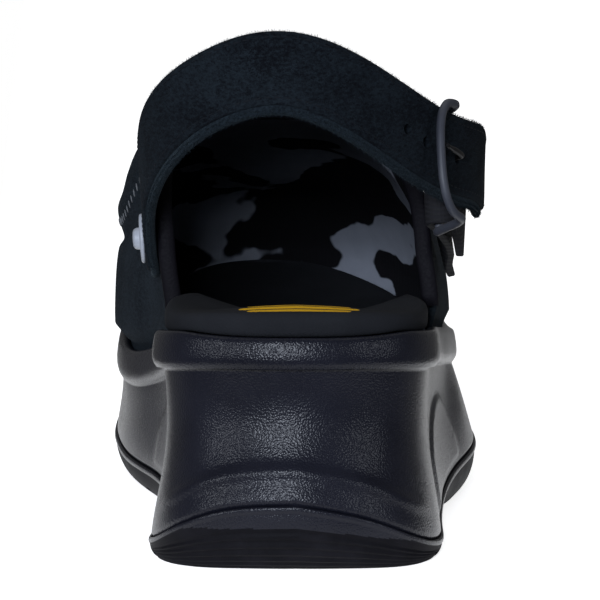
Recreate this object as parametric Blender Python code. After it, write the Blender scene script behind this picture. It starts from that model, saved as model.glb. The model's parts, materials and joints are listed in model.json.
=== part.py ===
# Suede platform clog with a buckled heel strap, right foot.
# Metres, +Z up, the toe along +Y, the lateral side along +X, the tread standing on z = 0.
# Every size below is in millimetres; solid() turns the finished points into metres.

import math
from collections import namedtuple

import bmesh
import bpy
import numpy as np
from mathutils import Vector

MM = 0.001
GAP = 0.3                 # clearance between pieces that touch on the real shoe

# Sole
LENGTH = 256.0            # heel back to toe tip
COLUMNS = 36              # stations from heel to toe on each side
BAND = 9.2                # height of the band under the rim
BAND_STEP = 1.1           # how far the wall stands back under the band
SCOOP_TOP = 0.86          # where the heel's scoop is deepest, as a share of the wall's height
RIM_WALL = 3.4            # width of the rim round the recess
RECESS = 4.0              # depth of the recess that takes the upper
RECESS_HEEL = 0.6         # the same at the open heel
LIP_OUT = 0.4             # how far the tread's lip stands out of the wall
LIP_TALL = 1.8
ARCH = (72.0, 112.0, 4.0)  # start, end and rise of the arch
TOE_SPRING = (186.0, 15.0)  # start and rise of the toe spring
GROOVE_WIDE = 3.6         # main lug grooves
GROOVE_DEEP = 3.2
HEEL_GROOVE_DEEP = 1.8
GROOVE_PITCH = 12.0

# Insole
INSOLE_OVER_RIM = 4.6     # height of its edge over the rim at the heel
INSOLE_TOE_OVER = 2.8     # the same under the vamp
FLANK_MEDIAL = 7.2        # how far its edge climbs towards the collar
FLANK_LATERAL = 5.0
HEEL_CUP = 6.0            # how far its middle lies below the edges
HEEL_ROLL = 1.5           # rise of its top behind the heel cup

# Upper
WALL = 2.6
COLLAR_MEDIAL = 78.0      # where the collar meets the sole, from the heel back
COLLAR_LATERAL = 84.0
UPPER_COLUMNS = 22
SEAM_RISE = 1.3           # step of the apron seam
SEAM_CLIMB = 18.0         # how far the seam climbs towards the collar, degrees of wall
LEAN_MEDIAL = (61.0, 0.19)   # the collar leans outward: from this height, by this much a millimetre
LEAN_LATERAL = (74.0, 0.25)
LEAN_ENDS = 0.14          # where the lean has gone, as a share of the vamp

# Strap, buckle and rivet
STRAP_WIDE = 22.6
STRAP_THICK = 3.4
SEAT = 0.9                # from the strap to the upper's wall at the rivet
HOLE_RADIUS = 1.6
HOLE_PITCH = 8.7
HOLE_AHEAD = 3.0          # the prong's hole, ahead of the buckle's middle
BAR_RADIUS = 1.3
BUCKLE_TALL = 35.0
BUCKLE_DEEP = 15.0
BUCKLE_DROP = 2.8         # how far the buckle hangs below the strap's middle line
BUCKLE_ROLL = 12.0        # how far its lower end stands off the strap, degrees
PRONG_RADIUS = 0.8
ANCHOR_THICK = 2.2
ANCHOR_WIDE = 20.0
ANCHOR_DROP = 5.4         # how far it hangs below the strap's middle line
WASHER_RADIUS = 6.8
HEAD_RADIUS = 3.5

SoleRow = namedtuple("SoleRow", "y centre half_width rim_medial rim_lateral lip_medial lip_lateral "
                     "flare_medial flare_lateral scoop tuck")
SOLE_ROWS = [
    SoleRow(0, 0.0, 0.0, 64.3, 64.3, 19.0, 19.0, 0.3, 0.3, 4.6, 15.5),
    SoleRow(4, -0.2, 18.5, 63.9, 63.9, 17.2, 14.8, 0.3, 0.3, 4.5, 12.6),
    SoleRow(12, -0.4, 29.5, 63.0, 63.0, 12.4, 9.6, 0.4, 0.4, 4.1, 7.0),
    SoleRow(25, -0.4, 36.0, 61.5, 61.5, 6.8, 5.6, 0.5, 0.5, 3.4, 2.4),
    SoleRow(40, -0.2, 38.2, 59.7, 59.9, 4.0, 4.2, 0.6, 0.6, 3.0, 1.6),
    SoleRow(60, 0.8, 38.0, 57.0, 57.9, 4.4, 5.2, 0.0, 0.0, 2.4, 1.8),
    SoleRow(85, 2.3, 39.0, 51.6, 54.4, 8.0, 9.2, -1.0, -0.5, 2.0, 4.0),
    SoleRow(110, 1.5, 42.3, 46.0, 51.2, 9.5, 12.2, -0.7, 1.8, 1.6, 6.5),
    SoleRow(130, -0.4, 45.8, 41.8, 48.4, 9.4, 13.2, -0.5, 4.4, 1.2, 7.5),
    SoleRow(150, -2.5, 47.9, 39.6, 46.2, 9.4, 13.6, -0.4, 5.8, 1.0, 7.5),
    SoleRow(165, -3.7, 48.6, 39.4, 45.0, 9.6, 13.6, -0.3, 6.0, 1.0, 7.5),
    SoleRow(185, -4.6, 48.6, 40.6, 44.2, 10.4, 13.6, 0.4, 5.2, 0.9, 8.0),
    SoleRow(205, -5.5, 46.2, 42.8, 44.4, 12.4, 14.6, 1.4, 4.0, 0.9, 9.0),
    SoleRow(225, -7.0, 40.6, 45.8, 46.2, 16.0, 17.0, 2.2, 3.0, 1.0, 11.0),
    SoleRow(240, -8.5, 32.4, 48.4, 48.4, 19.8, 20.2, 2.4, 2.5, 1.1, 13.0),
    SoleRow(250, -9.5, 21.6, 50.4, 50.4, 22.6, 22.6, 2.5, 2.5, 1.2, 14.5),
    SoleRow(256, -10.0, 0.0, 51.6, 51.6, 24.2, 24.2, 2.5, 2.5, 1.2, 15.0),
]

# The vamp's ridge line from the collar to the toe, with the squareness and swell of each side there.
SpineRow = namedtuple("SpineRow", "y x z square_medial square_lateral swell_medial swell_lateral")
SPINE_ROWS = [
    SpineRow(115, -9.5, 113.2, 3.8, 2.4, 3.4, 1.2),
    SpineRow(135, -10.5, 109.8, 6.0, 2.4, 3.8, 1.4),
    SpineRow(155, -11.0, 104.6, 6.8, 2.6, 3.9, 1.8),
    SpineRow(175, -11.2, 98.6, 6.0, 2.8, 3.7, 2.2),
    SpineRow(200, -11.2, 89.6, 4.2, 2.8, 3.2, 2.6),
    SpineRow(220, -11.0, 82.8, 2.9, 2.7, 2.8, 2.6),
    SpineRow(235, -10.5, 79.6, 2.5, 2.5, 2.4, 2.4),
]

# Rows up the upper's wall: the angle from floor to ridge, the share of the swell and of the apron seam.
WallRow = namedtuple("WallRow", "angle swell seam")
WALL_ROWS = [
    WallRow(0, 1.35, 0.0), WallRow(4, 1.35, 0.0), WallRow(9, 1.35, 0.0), WallRow(16, 1.32, 0.0),
    WallRow(23, 1.2, 0.0), WallRow(26, 1.08, -0.3), WallRow(28, 1.0, -1.0), WallRow(30, 1.0, -0.2),
    WallRow(32.5, 1.06, 1.0), WallRow(36, 1.1, 0.6), WallRow(41, 1.1, 0.15), WallRow(48, 1.0, 0.0),
    WallRow(56, 0.78, 0.0), WallRow(65, 0.45, 0.0), WallRow(74, 0.24, 0.0), WallRow(82, 0.08, 0.0),
    WallRow(90, 0.0, 0.0),
]

# The strap's middle line; lean tips its width forward, roll tips its top toward the lateral side.
StrapRow = namedtuple("StrapRow", "x y z lean roll")
STRAP_ROWS = [
    StrapRow(-40.6, 96, 72.2, 38, 3),
    StrapRow(-39.6, 88, 79.0, 38, 4),
    StrapRow(-40.8, 70, 92.8, 36, -4),
    StrapRow(-38.8, 48, 106.8, 32, -9),
    StrapRow(-31.6, 28, 118.4, 28, -9),
    StrapRow(-19.6, 17, 126.9, 26, -2),
    StrapRow(-4.0, 14.5, 130.4, 25, 0),
    StrapRow(12.0, 18, 125.2, 22, 3),
    StrapRow(26.0, 28, 115.6, 20, 8),
    StrapRow(37.0, 42, 107.4, 20, 11),
    StrapRow(44.6, 57, 103.0, 15, 9),
    StrapRow(48.9, 73, 99.6, 12, 5),
    StrapRow(50.4, 98, 93.5, 12, 0),
]
RIVET_ROW = 1             # the strap row that the rivet holds
BUCKLE_ROW = 9.35         # the place along the strap rows inside the buckle

COLOURS = {
    "outsole": (0.030, 0.030, 0.036, 0.75),
    "midsole": (0.062, 0.066, 0.082, 0.55),
    "insole": (0.030, 0.031, 0.037, 0.90),
    "upper": (0.017, 0.021, 0.028, 0.95),
    "collar_binding": (0.010, 0.010, 0.014, 0.80),
    "heel_strap": (0.012, 0.014, 0.021, 0.95),
    "rivet": (0.560, 0.600, 0.660, 0.45),
    "buckle_frame": (0.055, 0.060, 0.075, 0.35),
    "buckle_prong": (0.055, 0.060, 0.075, 0.35),
    "buckle_anchor": (0.010, 0.010, 0.013, 0.85),
}


def spline(knots, values):
    """A smooth function through a table's column: the natural cubic spline."""
    x = np.array(knots, float)
    y = np.array(values, float)
    n = len(x)
    h = np.diff(x)
    lhs = np.eye(n)
    rhs = np.zeros(n)
    for i in range(1, n - 1):
        lhs[i, i - 1:i + 2] = (h[i - 1], 2.0 * (h[i - 1] + h[i]), h[i])
        rhs[i] = 6.0 * ((y[i + 1] - y[i]) / h[i] - (y[i] - y[i - 1]) / h[i - 1])
    bend = np.linalg.solve(lhs, rhs)

    def at(t):
        i = min(max(int(np.searchsorted(x, t)) - 1, 0), n - 2)
        a = (x[i + 1] - t) / h[i]
        b = 1.0 - a
        curve = ((a ** 3 - a) * bend[i] + (b ** 3 - b) * bend[i + 1]) * h[i] ** 2 / 6.0
        return float(a * y[i] + b * y[i + 1] + curve)
    return at


def smoothstep(low, high, t):
    t = min(max((t - low) / (high - low), 0.0), 1.0)
    return t * t * (3.0 - 2.0 * t)


# Sole outline: u runs from 0 at the heel back to 1 at the toe, crowded at both ends to keep them round.

def u_of(y):
    return math.acos(1.0 - 2.0 * y / LENGTH) / math.pi


def y_of(u):
    return 0.5 * LENGTH * (1.0 - math.cos(math.pi * u))


SOLE_U = [u_of(row.y) for row in SOLE_ROWS]
SOLE = {name: spline(SOLE_U, [getattr(row, name) for row in SOLE_ROWS]) for name in SoleRow._fields}


def sided(name, u, side):
    """A column kept once for each side; side is +1 lateral, -1 medial."""
    return SOLE[name + ("_lateral" if side > 0 else "_medial")](u)


def edge(u, side, offset):
    """Plan point of the band's outline moved outward by the offset."""
    step = 1e-4
    low = max(u - step, 0.0)
    high = min(u + step, 1.0)

    def plan(t):
        return np.array([SOLE["centre"](t) + side * max(SOLE["half_width"](t), 0.0), y_of(t)])

    along = plan(high) - plan(low)
    if u < step or u > 1.0 - step:
        out = np.array([0.0, -1.0 if u < 0.5 else 1.0])
    else:
        out = side * np.array([along[1], -along[0]]) / np.linalg.norm(along)
    return plan(u) + out * offset


def perimeter():
    """The stations round the sole: heel back, lateral side, toe, medial side."""
    lateral = [(i / COLUMNS, 1) for i in range(COLUMNS + 1)]
    medial = [(i / COLUMNS, -1) for i in range(COLUMNS - 1, 0, -1)]
    return lateral + medial


def ring(offset, height):
    points = []
    for u, side in perimeter():
        x, y = edge(u, side, offset(u, side))
        points.append((x, y, height(u, side)))
    return points


def rim(u, side):
    return sided("rim", u, side)


def recess(u):
    return RECESS_HEEL + (RECESS - RECESS_HEEL) * smoothstep(52.0, 76.0, y_of(u))


def ground(y):
    """Height of the tread over the floor: flat heel, arch, flat forefoot, toe spring."""
    start, end, rise = ARCH
    arch = 0.0
    if start < y < end:
        arch = rise * math.sin(math.pi * (y - start) / (end - start)) ** 2
    start, rise = TOE_SPRING
    toe = rise * (max(y - start, 0.0) / (LENGTH - start)) ** 2
    return arch + toe


def wall_offset(u, side, f):
    """Outward offset of the midsole's side, f from 0 at the tread's lip to 1 under the band."""
    flare = sided("flare", u, side)
    scoop = SOLE["scoop"](u) * math.sin(0.5 * math.pi * f / SCOOP_TOP) ** 1.35
    scoop *= 1.0 - smoothstep(1.5, 4.5, flare)
    return flare * (1.0 - f) - scoop - BAND_STEP * f ** 3


# Mesh helpers

def solid(name, points, faces):
    """One closed object of its own material, points in millimetres."""
    mesh = bpy.data.meshes.new(name)
    mesh.from_pydata([tuple(MM * c for c in p) for p in points], [], faces)
    work = bmesh.new()
    work.from_mesh(mesh)
    bmesh.ops.recalc_face_normals(work, faces=work.faces)
    work.to_mesh(mesh)
    work.free()
    part = bpy.data.objects.new(name, mesh)
    bpy.context.scene.collection.objects.link(part)
    if name in COLOURS:
        red, green, blue, rough = COLOURS[name]
        material = bpy.data.materials.new(name)
        material.use_nodes = True
        shader = material.node_tree.nodes["Principled BSDF"]
        shader.inputs["Base Color"].default_value = (red, green, blue, 1.0)
        shader.inputs["Roughness"].default_value = rough
        mesh.materials.append(material)
    return part


def cut(part, name, points, faces):
    """Take a helper shape away from a piece."""
    helper = solid(name, points, faces)
    helper.hide_render = True
    helper.display_type = "WIRE"
    boolean = part.modifiers.new(name, "BOOLEAN")
    boolean.operation = "DIFFERENCE"
    boolean.solver = "EXACT"
    boolean.object = helper
    graph = bpy.context.evaluated_depsgraph_get()
    mesh = bpy.data.meshes.new_from_object(part.evaluated_get(graph))
    mesh.name = part.name
    part.modifiers.clear()
    part.data = mesh
    bpy.data.objects.remove(helper)


def sole_piece(name, rings, across, bottom=None, top=None):
    """Rings stacked from bottom to top, closed by rows of faces from side to side.

    bottom and top give the extra height of a cap at a station u and at a share v across it.
    """
    count = 2 * COLUMNS
    points = [p for level in rings for p in level]
    faces = []
    for level in range(len(rings) - 1):
        for i in range(count):
            j = (i + 1) % count
            a = level * count
            faces.append((a + i, a + j, a + count + j, a + count + i))
    for level, lift in ((0, bottom), (len(rings) - 1, top)):
        base = level * count
        rows = []
        for i in range(1, COLUMNS):
            right = base + i
            left = base + count - i
            row = [right]
            for k in range(1, across):
                v = k / across
                p = np.array(points[right]) * (1.0 - v) + np.array(points[left]) * v
                p[2] += lift(i / COLUMNS, v) if lift else 0.0
                row.append(len(points))
                points.append(tuple(p))
            rows.append(row + [left])
        for k in range(across):
            faces.append((base, rows[0][k], rows[0][k + 1]))
            faces.append((base + COLUMNS, rows[-1][k + 1], rows[-1][k]))
            for a, b in zip(rows, rows[1:]):
                faces.append((a[k], b[k], b[k + 1], a[k + 1]))
    return solid(name, points, faces)


def tube(sections, closed):
    """Points and faces of a swept outline: each section is a list of points of equal count."""
    count = len(sections[0])
    points = [tuple(p) for section in sections for p in section]
    faces = []
    last = len(sections) if closed else len(sections) - 1
    for s in range(last):
        a = s * count
        b = ((s + 1) % len(sections)) * count
        for i in range(count):
            j = (i + 1) % count
            faces.append((a + i, a + j, b + j, b + i))
    if not closed:
        faces.append(tuple(range(count)))
        faces.append(tuple(range(len(points) - count, len(points))))
    return points, faces


def turned(profile, origin, axis, sides):
    """A solid turned about an axis: profile rows are (distance along it, radius)."""
    axis = np.array(Vector(axis).normalized())
    first = np.array(Vector(axis).orthogonal().normalized())
    second = np.cross(axis, first)
    sections = []
    for along, radius in profile:
        middle = np.array(origin) + axis * along
        turn = [2.0 * math.pi * i / sides for i in range(sides)]
        sections.append([middle + radius * (first * math.cos(a) + second * math.sin(a)) for a in turn])
    return tube(sections, False)


# Pieces of the sole

def build_midsole():
    def low(u, side):
        return sided("lip", u, side) + 0.5 * GAP

    def wall_height(f):
        def height(u, side):
            bottom = low(u, side) + 1.2
            return bottom + f * (rim(u, side) - BAND - 1.0 - bottom)
        return height

    rings = [ring(lambda u, side: sided("flare", u, side), low)]
    for f in (0.0, 0.12, 0.28, 0.44, 0.60, 0.76, 0.90, 1.0):
        rings.append(ring(lambda u, side, f=f: wall_offset(u, side, f), wall_height(f)))
    for down, out in ((BAND, -0.1), (6.0, 0.25), (2.4, 0.1), (0.6, -0.5), (0.0, -1.4), (0.0, -RIM_WALL)):
        rings.append(ring(lambda u, side, out=out: out, lambda u, side, down=down: rim(u, side) - down))
    rings.append(ring(lambda u, side: -RIM_WALL - 0.2, lambda u, side: rim(u, side) - recess(u)))
    return sole_piece("midsole", rings, 4)


def build_outsole():
    def top(u, side):
        return sided("lip", u, side) - 0.5 * GAP

    def lip_out(u, side):
        return sided("flare", u, side) + LIP_OUT

    def curl(a):
        def offset(u, side):
            return lip_out(u, side) - SOLE["tuck"](u) * (1.0 - math.cos(a))

        def height(u, side):
            inset = edge(u, side, offset(u, side))
            low = ground(inset[1])
            return low + (top(u, side) - LIP_TALL - low) * (1.0 - math.sin(a))
        return ring(offset, height)

    rings = [curl(math.radians(a)) for a in (90, 68, 45, 22, 0)]
    rings.append(ring(lip_out, top))
    piece = sole_piece("outsole", rings, 2)

    def lugs(starts, deep):
        """Chevron grooves across the tread, one row of six corners for each."""
        points = []
        faces = []
        wide = GROOVE_WIDE
        for y in starts:
            base = len(points)
            low = -2.0
            high = ground(y + 4.0) + deep
            plan = [(-75.0, y), (-4.0, y + 7.0), (75.0, y),
                    (75.0, y + wide), (-4.0, y + 7.0 + wide), (-75.0, y + wide)]
            points += [(px, py, low) for px, py in plan]
            points += [(px, py, high) for px, py in plan]
            faces.append(tuple(base + i for i in range(6)))
            faces.append(tuple(base + 6 + i for i in range(6)))
            for i in range(6):
                j = (i + 1) % 6
                faces.append((base + i, base + j, base + 6 + j, base + 6 + i))
        return points, faces

    cut(piece, "forefoot_grooves", *lugs([118.0 + GROOVE_PITCH * i for i in range(9)], GROOVE_DEEP))
    cut(piece, "heel_grooves", *lugs([24.0 + GROOVE_PITCH * i for i in range(4)], HEEL_GROOVE_DEEP))
    return piece


def insole_offset(u):
    return -3.2 - 4.9 * smoothstep(48.0, 76.0, y_of(u))


def insole_edge(u, side):
    y = y_of(u)
    over = INSOLE_OVER_RIM + (INSOLE_TOE_OVER - INSOLE_OVER_RIM) * smoothstep(40.0, 130.0, y)
    flank = FLANK_LATERAL if side > 0 else FLANK_MEDIAL
    return rim(u, side) + over + flank * smoothstep(15.0, 80.0, y) * (1.0 - smoothstep(92.0, 140.0, y))


def build_insole():
    def low(u, side):
        return rim(u, side) - recess(u) + 1.5 * GAP

    def at(share, inset):
        def height(u, side):
            return low(u, side) + share * (insole_edge(u, side) - low(u, side))
        return ring(lambda u, side: insole_offset(u) - inset, height)

    def cup(u, v):
        y = y_of(u)
        roll = HEEL_ROLL * smoothstep(0.0, 14.0, y) * (1.0 - smoothstep(14.0, 44.0, y))
        dip = 0.8 * smoothstep(4.0, 40.0, y)
        dip += HEEL_CUP * smoothstep(16.0, 60.0, y) * (1.0 - smoothstep(95.0, 150.0, y))
        return (roll - dip) * (1.0 - abs(2.0 * v - 1.0) ** 2.4)

    rings = [at(0.0, 0.7), at(0.25, 0.0), at(0.7, 0.0), at(0.92, 0.6), at(1.0, 2.0)]
    return sole_piece("insole", rings, 6, top=cup)


# The upper: a wall point for a share g from collar to toe, a side and an angle up the wall

SPINE_Y = [row.y for row in SPINE_ROWS]
SPINE = {name: spline(SPINE_Y, [getattr(row, name) for row in SPINE_ROWS]) for name in SpineRow._fields}
WALL_ANGLES = [row.angle for row in WALL_ROWS]


def upper_point(g, side, degrees, inset):
    """A point of the upper's outer face (inset 0) or of its lining face (inset WALL)."""
    row_angle = degrees
    climb = SEAM_CLIMB * (1.0 - smoothstep(0.0, 0.34, g))
    degrees += climb * np.interp(degrees, (9.0, 30.0, 90.0), (0.0, 1.0, 0.0))
    start = u_of(COLLAR_LATERAL if side > 0 else COLLAR_MEDIAL)
    u = start + (1.0 - start) * g
    x, y = edge(u, side, -RIM_WALL - 0.2 - GAP - inset)
    foot = np.array([x, y, rim(u, side) - recess(u) + GAP])
    spine_y = SPINE_Y[0] + (SPINE_Y[-1] - SPINE_Y[0]) * (y_of(u) - y_of(start)) / (LENGTH - y_of(start))
    ridge = np.array([SPINE["x"](spine_y), spine_y, SPINE["z"](spine_y) - inset])
    suffix = "_lateral" if side > 0 else "_medial"
    power = SPINE["square" + suffix](spine_y)
    swell = SPINE["swell" + suffix](spine_y)
    swell *= np.interp(degrees, WALL_ANGLES, [row.swell for row in WALL_ROWS])
    out = math.cos(math.radians(degrees))
    up = math.sin(math.radians(degrees))
    radius = (max(out, 0.0) ** power + up ** power) ** (-1.0 / power)
    span = np.array([ridge[0] - foot[0], ridge[1] - foot[1], 0.0])
    share = 1.0 - out * radius
    point = foot + span * share
    point[1] += span[1] * (math.sin(0.5 * math.pi * share) - share) * (1.0 - g) ** 2
    point[2] = foot[2] + (ridge[2] - foot[2]) * up * radius
    lean_from, lean = LEAN_LATERAL if side > 0 else LEAN_MEDIAL
    lean *= max(point[2] - lean_from, 0.0) * math.sqrt(max(out * radius, 0.0))
    point[0] += side * lean * (1.0 - smoothstep(0.0, LEAN_ENDS, g))
    seam = 0.0
    if inset == 0.0:
        seam = SEAM_RISE * np.interp(row_angle, WALL_ANGLES, [row.seam for row in WALL_ROWS])
    away = -span / np.linalg.norm(span) * out + np.array([0.0, 0.0, up])
    free = smoothstep(RECESS + GAP, RECESS + 5.0, point[2] - foot[2])
    return point + away * (swell * free + seam * smoothstep(0.0, 0.12, g))


def upper_at(side, y, z):
    """The point of the upper's outer face at a given y and height, closed in on step by step."""
    g = 0.1
    angle = 30.0
    for step in range(60):
        p = upper_point(g, side, angle, 0.0)
        g = min(max(g + 0.6 * (y - p[1]) / 170.0, 0.0), 1.0)
        angle = min(max(angle + 0.6 * (z - p[2]), 0.0), 90.0)
    return upper_point(g, side, angle, 0.0)


def build_upper():
    columns = [(j / UPPER_COLUMNS, -1) for j in range(UPPER_COLUMNS + 1)]
    columns += [(j / UPPER_COLUMNS, 1) for j in range(UPPER_COLUMNS - 1, -1, -1)]
    last = len(columns) - 1
    rows = len(WALL_ROWS) - 1
    points = []
    where = {}
    for layer, inset in enumerate((0.0, WALL)):
        for c, (g, side) in enumerate(columns):
            for r, row in enumerate(WALL_ROWS):
                shared = (layer, last - c, r)
                if r == rows and shared in where:
                    where[layer, c, r] = where[shared]
                else:
                    where[layer, c, r] = len(points)
                    points.append(tuple(upper_point(g, side, row.angle, inset)))
    faces = []
    for layer in (0, 1):
        for c in range(last):
            for r in range(rows):
                corners = [where[layer, c, r], where[layer, c + 1, r],
                           where[layer, c + 1, r + 1], where[layer, c, r + 1]]
                faces.append(tuple(corners))
    for c in range(last):
        faces.append((where[0, c, 0], where[0, c + 1, 0], where[1, c + 1, 0], where[1, c, 0]))
    for c in (0, last):
        for r in range(rows):
            faces.append((where[0, c, r], where[0, c, r + 1], where[1, c, r + 1], where[1, c, r]))
    return solid("upper", points, faces)


def collar_path():
    """The collar's edge from the medial foot over the ridge to the lateral foot: outer, lining, inward."""
    path = []
    for side in (-1, 1):
        half = []
        for angle in WALL_ANGLES[2:]:
            outer = upper_point(0.0, side, angle, 0.0)
            lining = upper_point(0.0, side, angle, WALL)
            ahead = upper_point(1.0 / UPPER_COLUMNS, side, angle, 0.0)
            half.append((outer, lining, ahead))
        path += half if side < 0 else half[-2::-1]
    return path


def build_collar_binding():
    path = collar_path()
    middles = [0.5 * (outer + lining) for outer, lining, ahead in path]
    sections = []
    bead = [(-2.1, 0.0), (2.1, 0.0), (2.4, 1.4), (1.7, 2.9), (0.0, 3.5), (-1.7, 2.9), (-2.4, 1.4)]
    for i, (outer, lining, ahead) in enumerate(path):
        along = middles[min(i + 1, len(path) - 1)] - middles[max(i - 1, 0)]
        along /= np.linalg.norm(along)
        across = lining - outer
        across -= along * across.dot(along)
        across /= np.linalg.norm(across)
        back = np.cross(along, across)
        if back.dot(outer - ahead) < 0.0:
            back = -back
        origin = middles[i] + back * GAP
        sections.append([origin + across * a + back * b for a, b in bead])
    return solid("collar_binding", *tube(sections, False))


# Strap, buckle, anchor and rivet

STRAP_T = [float(i) for i in range(len(STRAP_ROWS))]
STRAP = {name: spline(STRAP_T, [getattr(row, name) for row in STRAP_ROWS]) for name in StrapRow._fields}


def seat_strap():
    """Lay the riveted end of the strap against the upper's medial side: its x and roll columns."""
    x = [row.x for row in STRAP_ROWS]
    roll = [row.roll for row in STRAP_ROWS]
    for i, row in enumerate(STRAP_ROWS[:RIVET_ROW + 1]):
        lean = math.radians(row.lean)
        spots = []
        for share in (-0.5, -0.25, 0.0, 0.25, 0.5):
            reach = share * STRAP_WIDE
            spots.append(upper_at(-1, row.y + reach * math.sin(lean), row.z + reach * math.cos(lean)))
        roll[i] = math.degrees(math.atan2(spots[-1][0] - spots[0][0], STRAP_WIDE))
        level = [p[0] - (k - 2) * 0.25 * (spots[-1][0] - spots[0][0]) for k, p in enumerate(spots)]
        x[i] = float(min(level)) - 0.5 * STRAP_THICK - SEAT
    STRAP["x"] = spline(STRAP_T, x)
    STRAP["roll"] = spline(STRAP_T, roll)


seat_strap()


def strap_frame(t):
    """Middle of the strap at row t, with its directions along, across (up) and out."""
    def middle(s):
        return np.array([STRAP["x"](s), STRAP["y"](s), STRAP["z"](s)])

    along = middle(t + 0.01) - middle(t - 0.01)
    along /= np.linalg.norm(along)
    lean = math.radians(STRAP["lean"](t))
    roll = math.radians(STRAP["roll"](t))
    across = np.array([math.sin(roll), math.sin(lean) * math.cos(roll), math.cos(lean) * math.cos(roll)])
    across -= along * across.dot(along)
    across /= np.linalg.norm(across)
    out = np.cross(along, across)
    return middle(t), along, across, out


def strap_walk():
    """Row numbers along the strap and the length of strap up to each."""
    fine = np.linspace(0.0, STRAP_T[-1], 400)
    spots = np.array([strap_frame(t)[0] for t in fine])
    run = np.concatenate(([0.0], np.cumsum(np.linalg.norm(np.diff(spots, axis=0), axis=1))))
    return fine, run


def build_heel_strap():
    fine, run = strap_walk()
    total = run[-1]
    half = 0.5 * STRAP_WIDE
    ends = [half * (1.0 - math.cos(math.radians(a))) for a in (12, 30, 50, 70, 90)]
    places = ends + list(np.linspace(half, total - half, 30))[1:-1] + [total - e for e in reversed(ends)]
    sections = []
    for place in places:
        middle, along, across, out = strap_frame(float(np.interp(place, run, fine)))
        reach = min(place, total - place, half)
        wide = math.sqrt(max(half ** 2 - (half - reach) ** 2, 0.0))
        thick = 0.5 * STRAP_THICK
        soft = 0.7
        flat = wide - soft
        low = thick - soft
        outline = [(-wide, low), (-flat, thick), (flat, thick), (wide, low),
                   (wide, -low), (flat, -thick), (-flat, -thick), (-wide, -low)]
        sections.append([middle + across * a + out * b for a, b in outline])
    strap = solid("heel_strap", *tube(sections, False))
    start = float(np.interp(BUCKLE_ROW, fine, run))
    for k in range(-3, 1):
        t = float(np.interp(start + HOLE_AHEAD + HOLE_PITCH * k, run, fine))
        middle, along, across, out = strap_frame(t)
        cut(strap, "strap_hole", *turned([(-4.0, HOLE_RADIUS), (4.0, HOLE_RADIUS)], middle, out, 10))
    middle, along, across, out = strap_frame(RIVET_ROW)
    cut(strap, "rivet_hole", *turned([(-4.0, 2.3), (4.0, 2.3)], middle, out, 12))
    return strap


def buckle_axes():
    """The buckle's middle and its directions along the strap, up its height and outward."""
    middle, along, across, out = strap_frame(BUCKLE_ROW)
    roll = math.radians(BUCKLE_ROLL)
    tipped = across * math.cos(roll) - out * math.sin(roll)
    return middle, along, tipped, out * math.cos(roll) + across * math.sin(roll)


# The buckle's two ends, along the strap and out from its middle.
PIVOT = (13.0, -0.5 * STRAP_THICK - 13 * GAP - ANCHOR_THICK - BAR_RADIUS)
REST = (-BUCKLE_DEEP, 0.5 * STRAP_THICK + GAP + BAR_RADIUS + 2.0)


def build_buckle_frame():
    middle, along, across, out = buckle_axes()
    half = 0.5 * BUCKLE_TALL - BAR_RADIUS
    path = []
    for a in range(-90, 91, 15):
        turn = math.radians(a)
        rise = math.copysign(abs(math.sin(turn)) ** 0.8, turn)
        path.append((REST[0] * max(math.cos(turn), 0.0) ** 0.5, half * rise))
    path += [(PIVOT[0] - 2.4, half - 0.8), (PIVOT[0] - 0.4, half - 2.8)]
    path += [(PIVOT[0], w) for w in np.linspace(half - 5.0, 5.0 - half, 5)]
    path += [(PIVOT[0] - 0.4, 2.8 - half), (PIVOT[0] - 2.4, 0.8 - half)]
    centres = []
    for reach, rise in path:
        lift = REST[1] + (PIVOT[1] - REST[1]) * smoothstep(-5.0, PIVOT[0] - 1.0, reach)
        centres.append(middle + along * reach + across * (rise - BUCKLE_DROP) + out * lift)
    sections = []
    for i, centre in enumerate(centres):
        run = centres[(i + 1) % len(centres)] - centres[i - 1]
        run /= np.linalg.norm(run)
        side = np.cross(run, out)
        side /= np.linalg.norm(side)
        normal = np.cross(side, run)
        turn = [math.pi * k / 4.0 for k in range(8)]
        sections.append([centre + BAR_RADIUS * (side * math.cos(a) + normal * math.sin(a)) for a in turn])
    return solid("buckle_frame", *tube(sections, True))


def build_buckle_prong():
    middle, along, across, out = buckle_axes()
    hook = BAR_RADIUS + GAP + PRONG_RADIUS
    path = []
    for a in (310, 270, 235, 200):
        turn = math.radians(a)
        path.append((PIVOT[0] + hook * math.cos(turn), PIVOT[1] + hook * math.sin(turn)))
    path += [(HOLE_AHEAD + 0.7, -2.6), (HOLE_AHEAD, 0.0), (HOLE_AHEAD - 0.5, 2.6), (HOLE_AHEAD - 3.6, 4.2)]
    path.append((REST[0] + hook, REST[1] + 0.4))
    sections = []
    for i, (reach, lift) in enumerate(path):
        before = path[max(i - 1, 0)]
        after = path[min(i + 1, len(path) - 1)]
        run = along * (after[0] - before[0]) + out * (after[1] - before[1])
        run /= np.linalg.norm(run)
        side = np.cross(run, across)
        centre = middle + along * reach + out * lift
        turn = [math.pi * k / 4.0 for k in range(8)]
        sections.append([centre + PRONG_RADIUS * (side * math.cos(a) + across * math.sin(a)) for a in turn])
    return solid("buckle_prong", *tube(sections, False))


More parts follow.
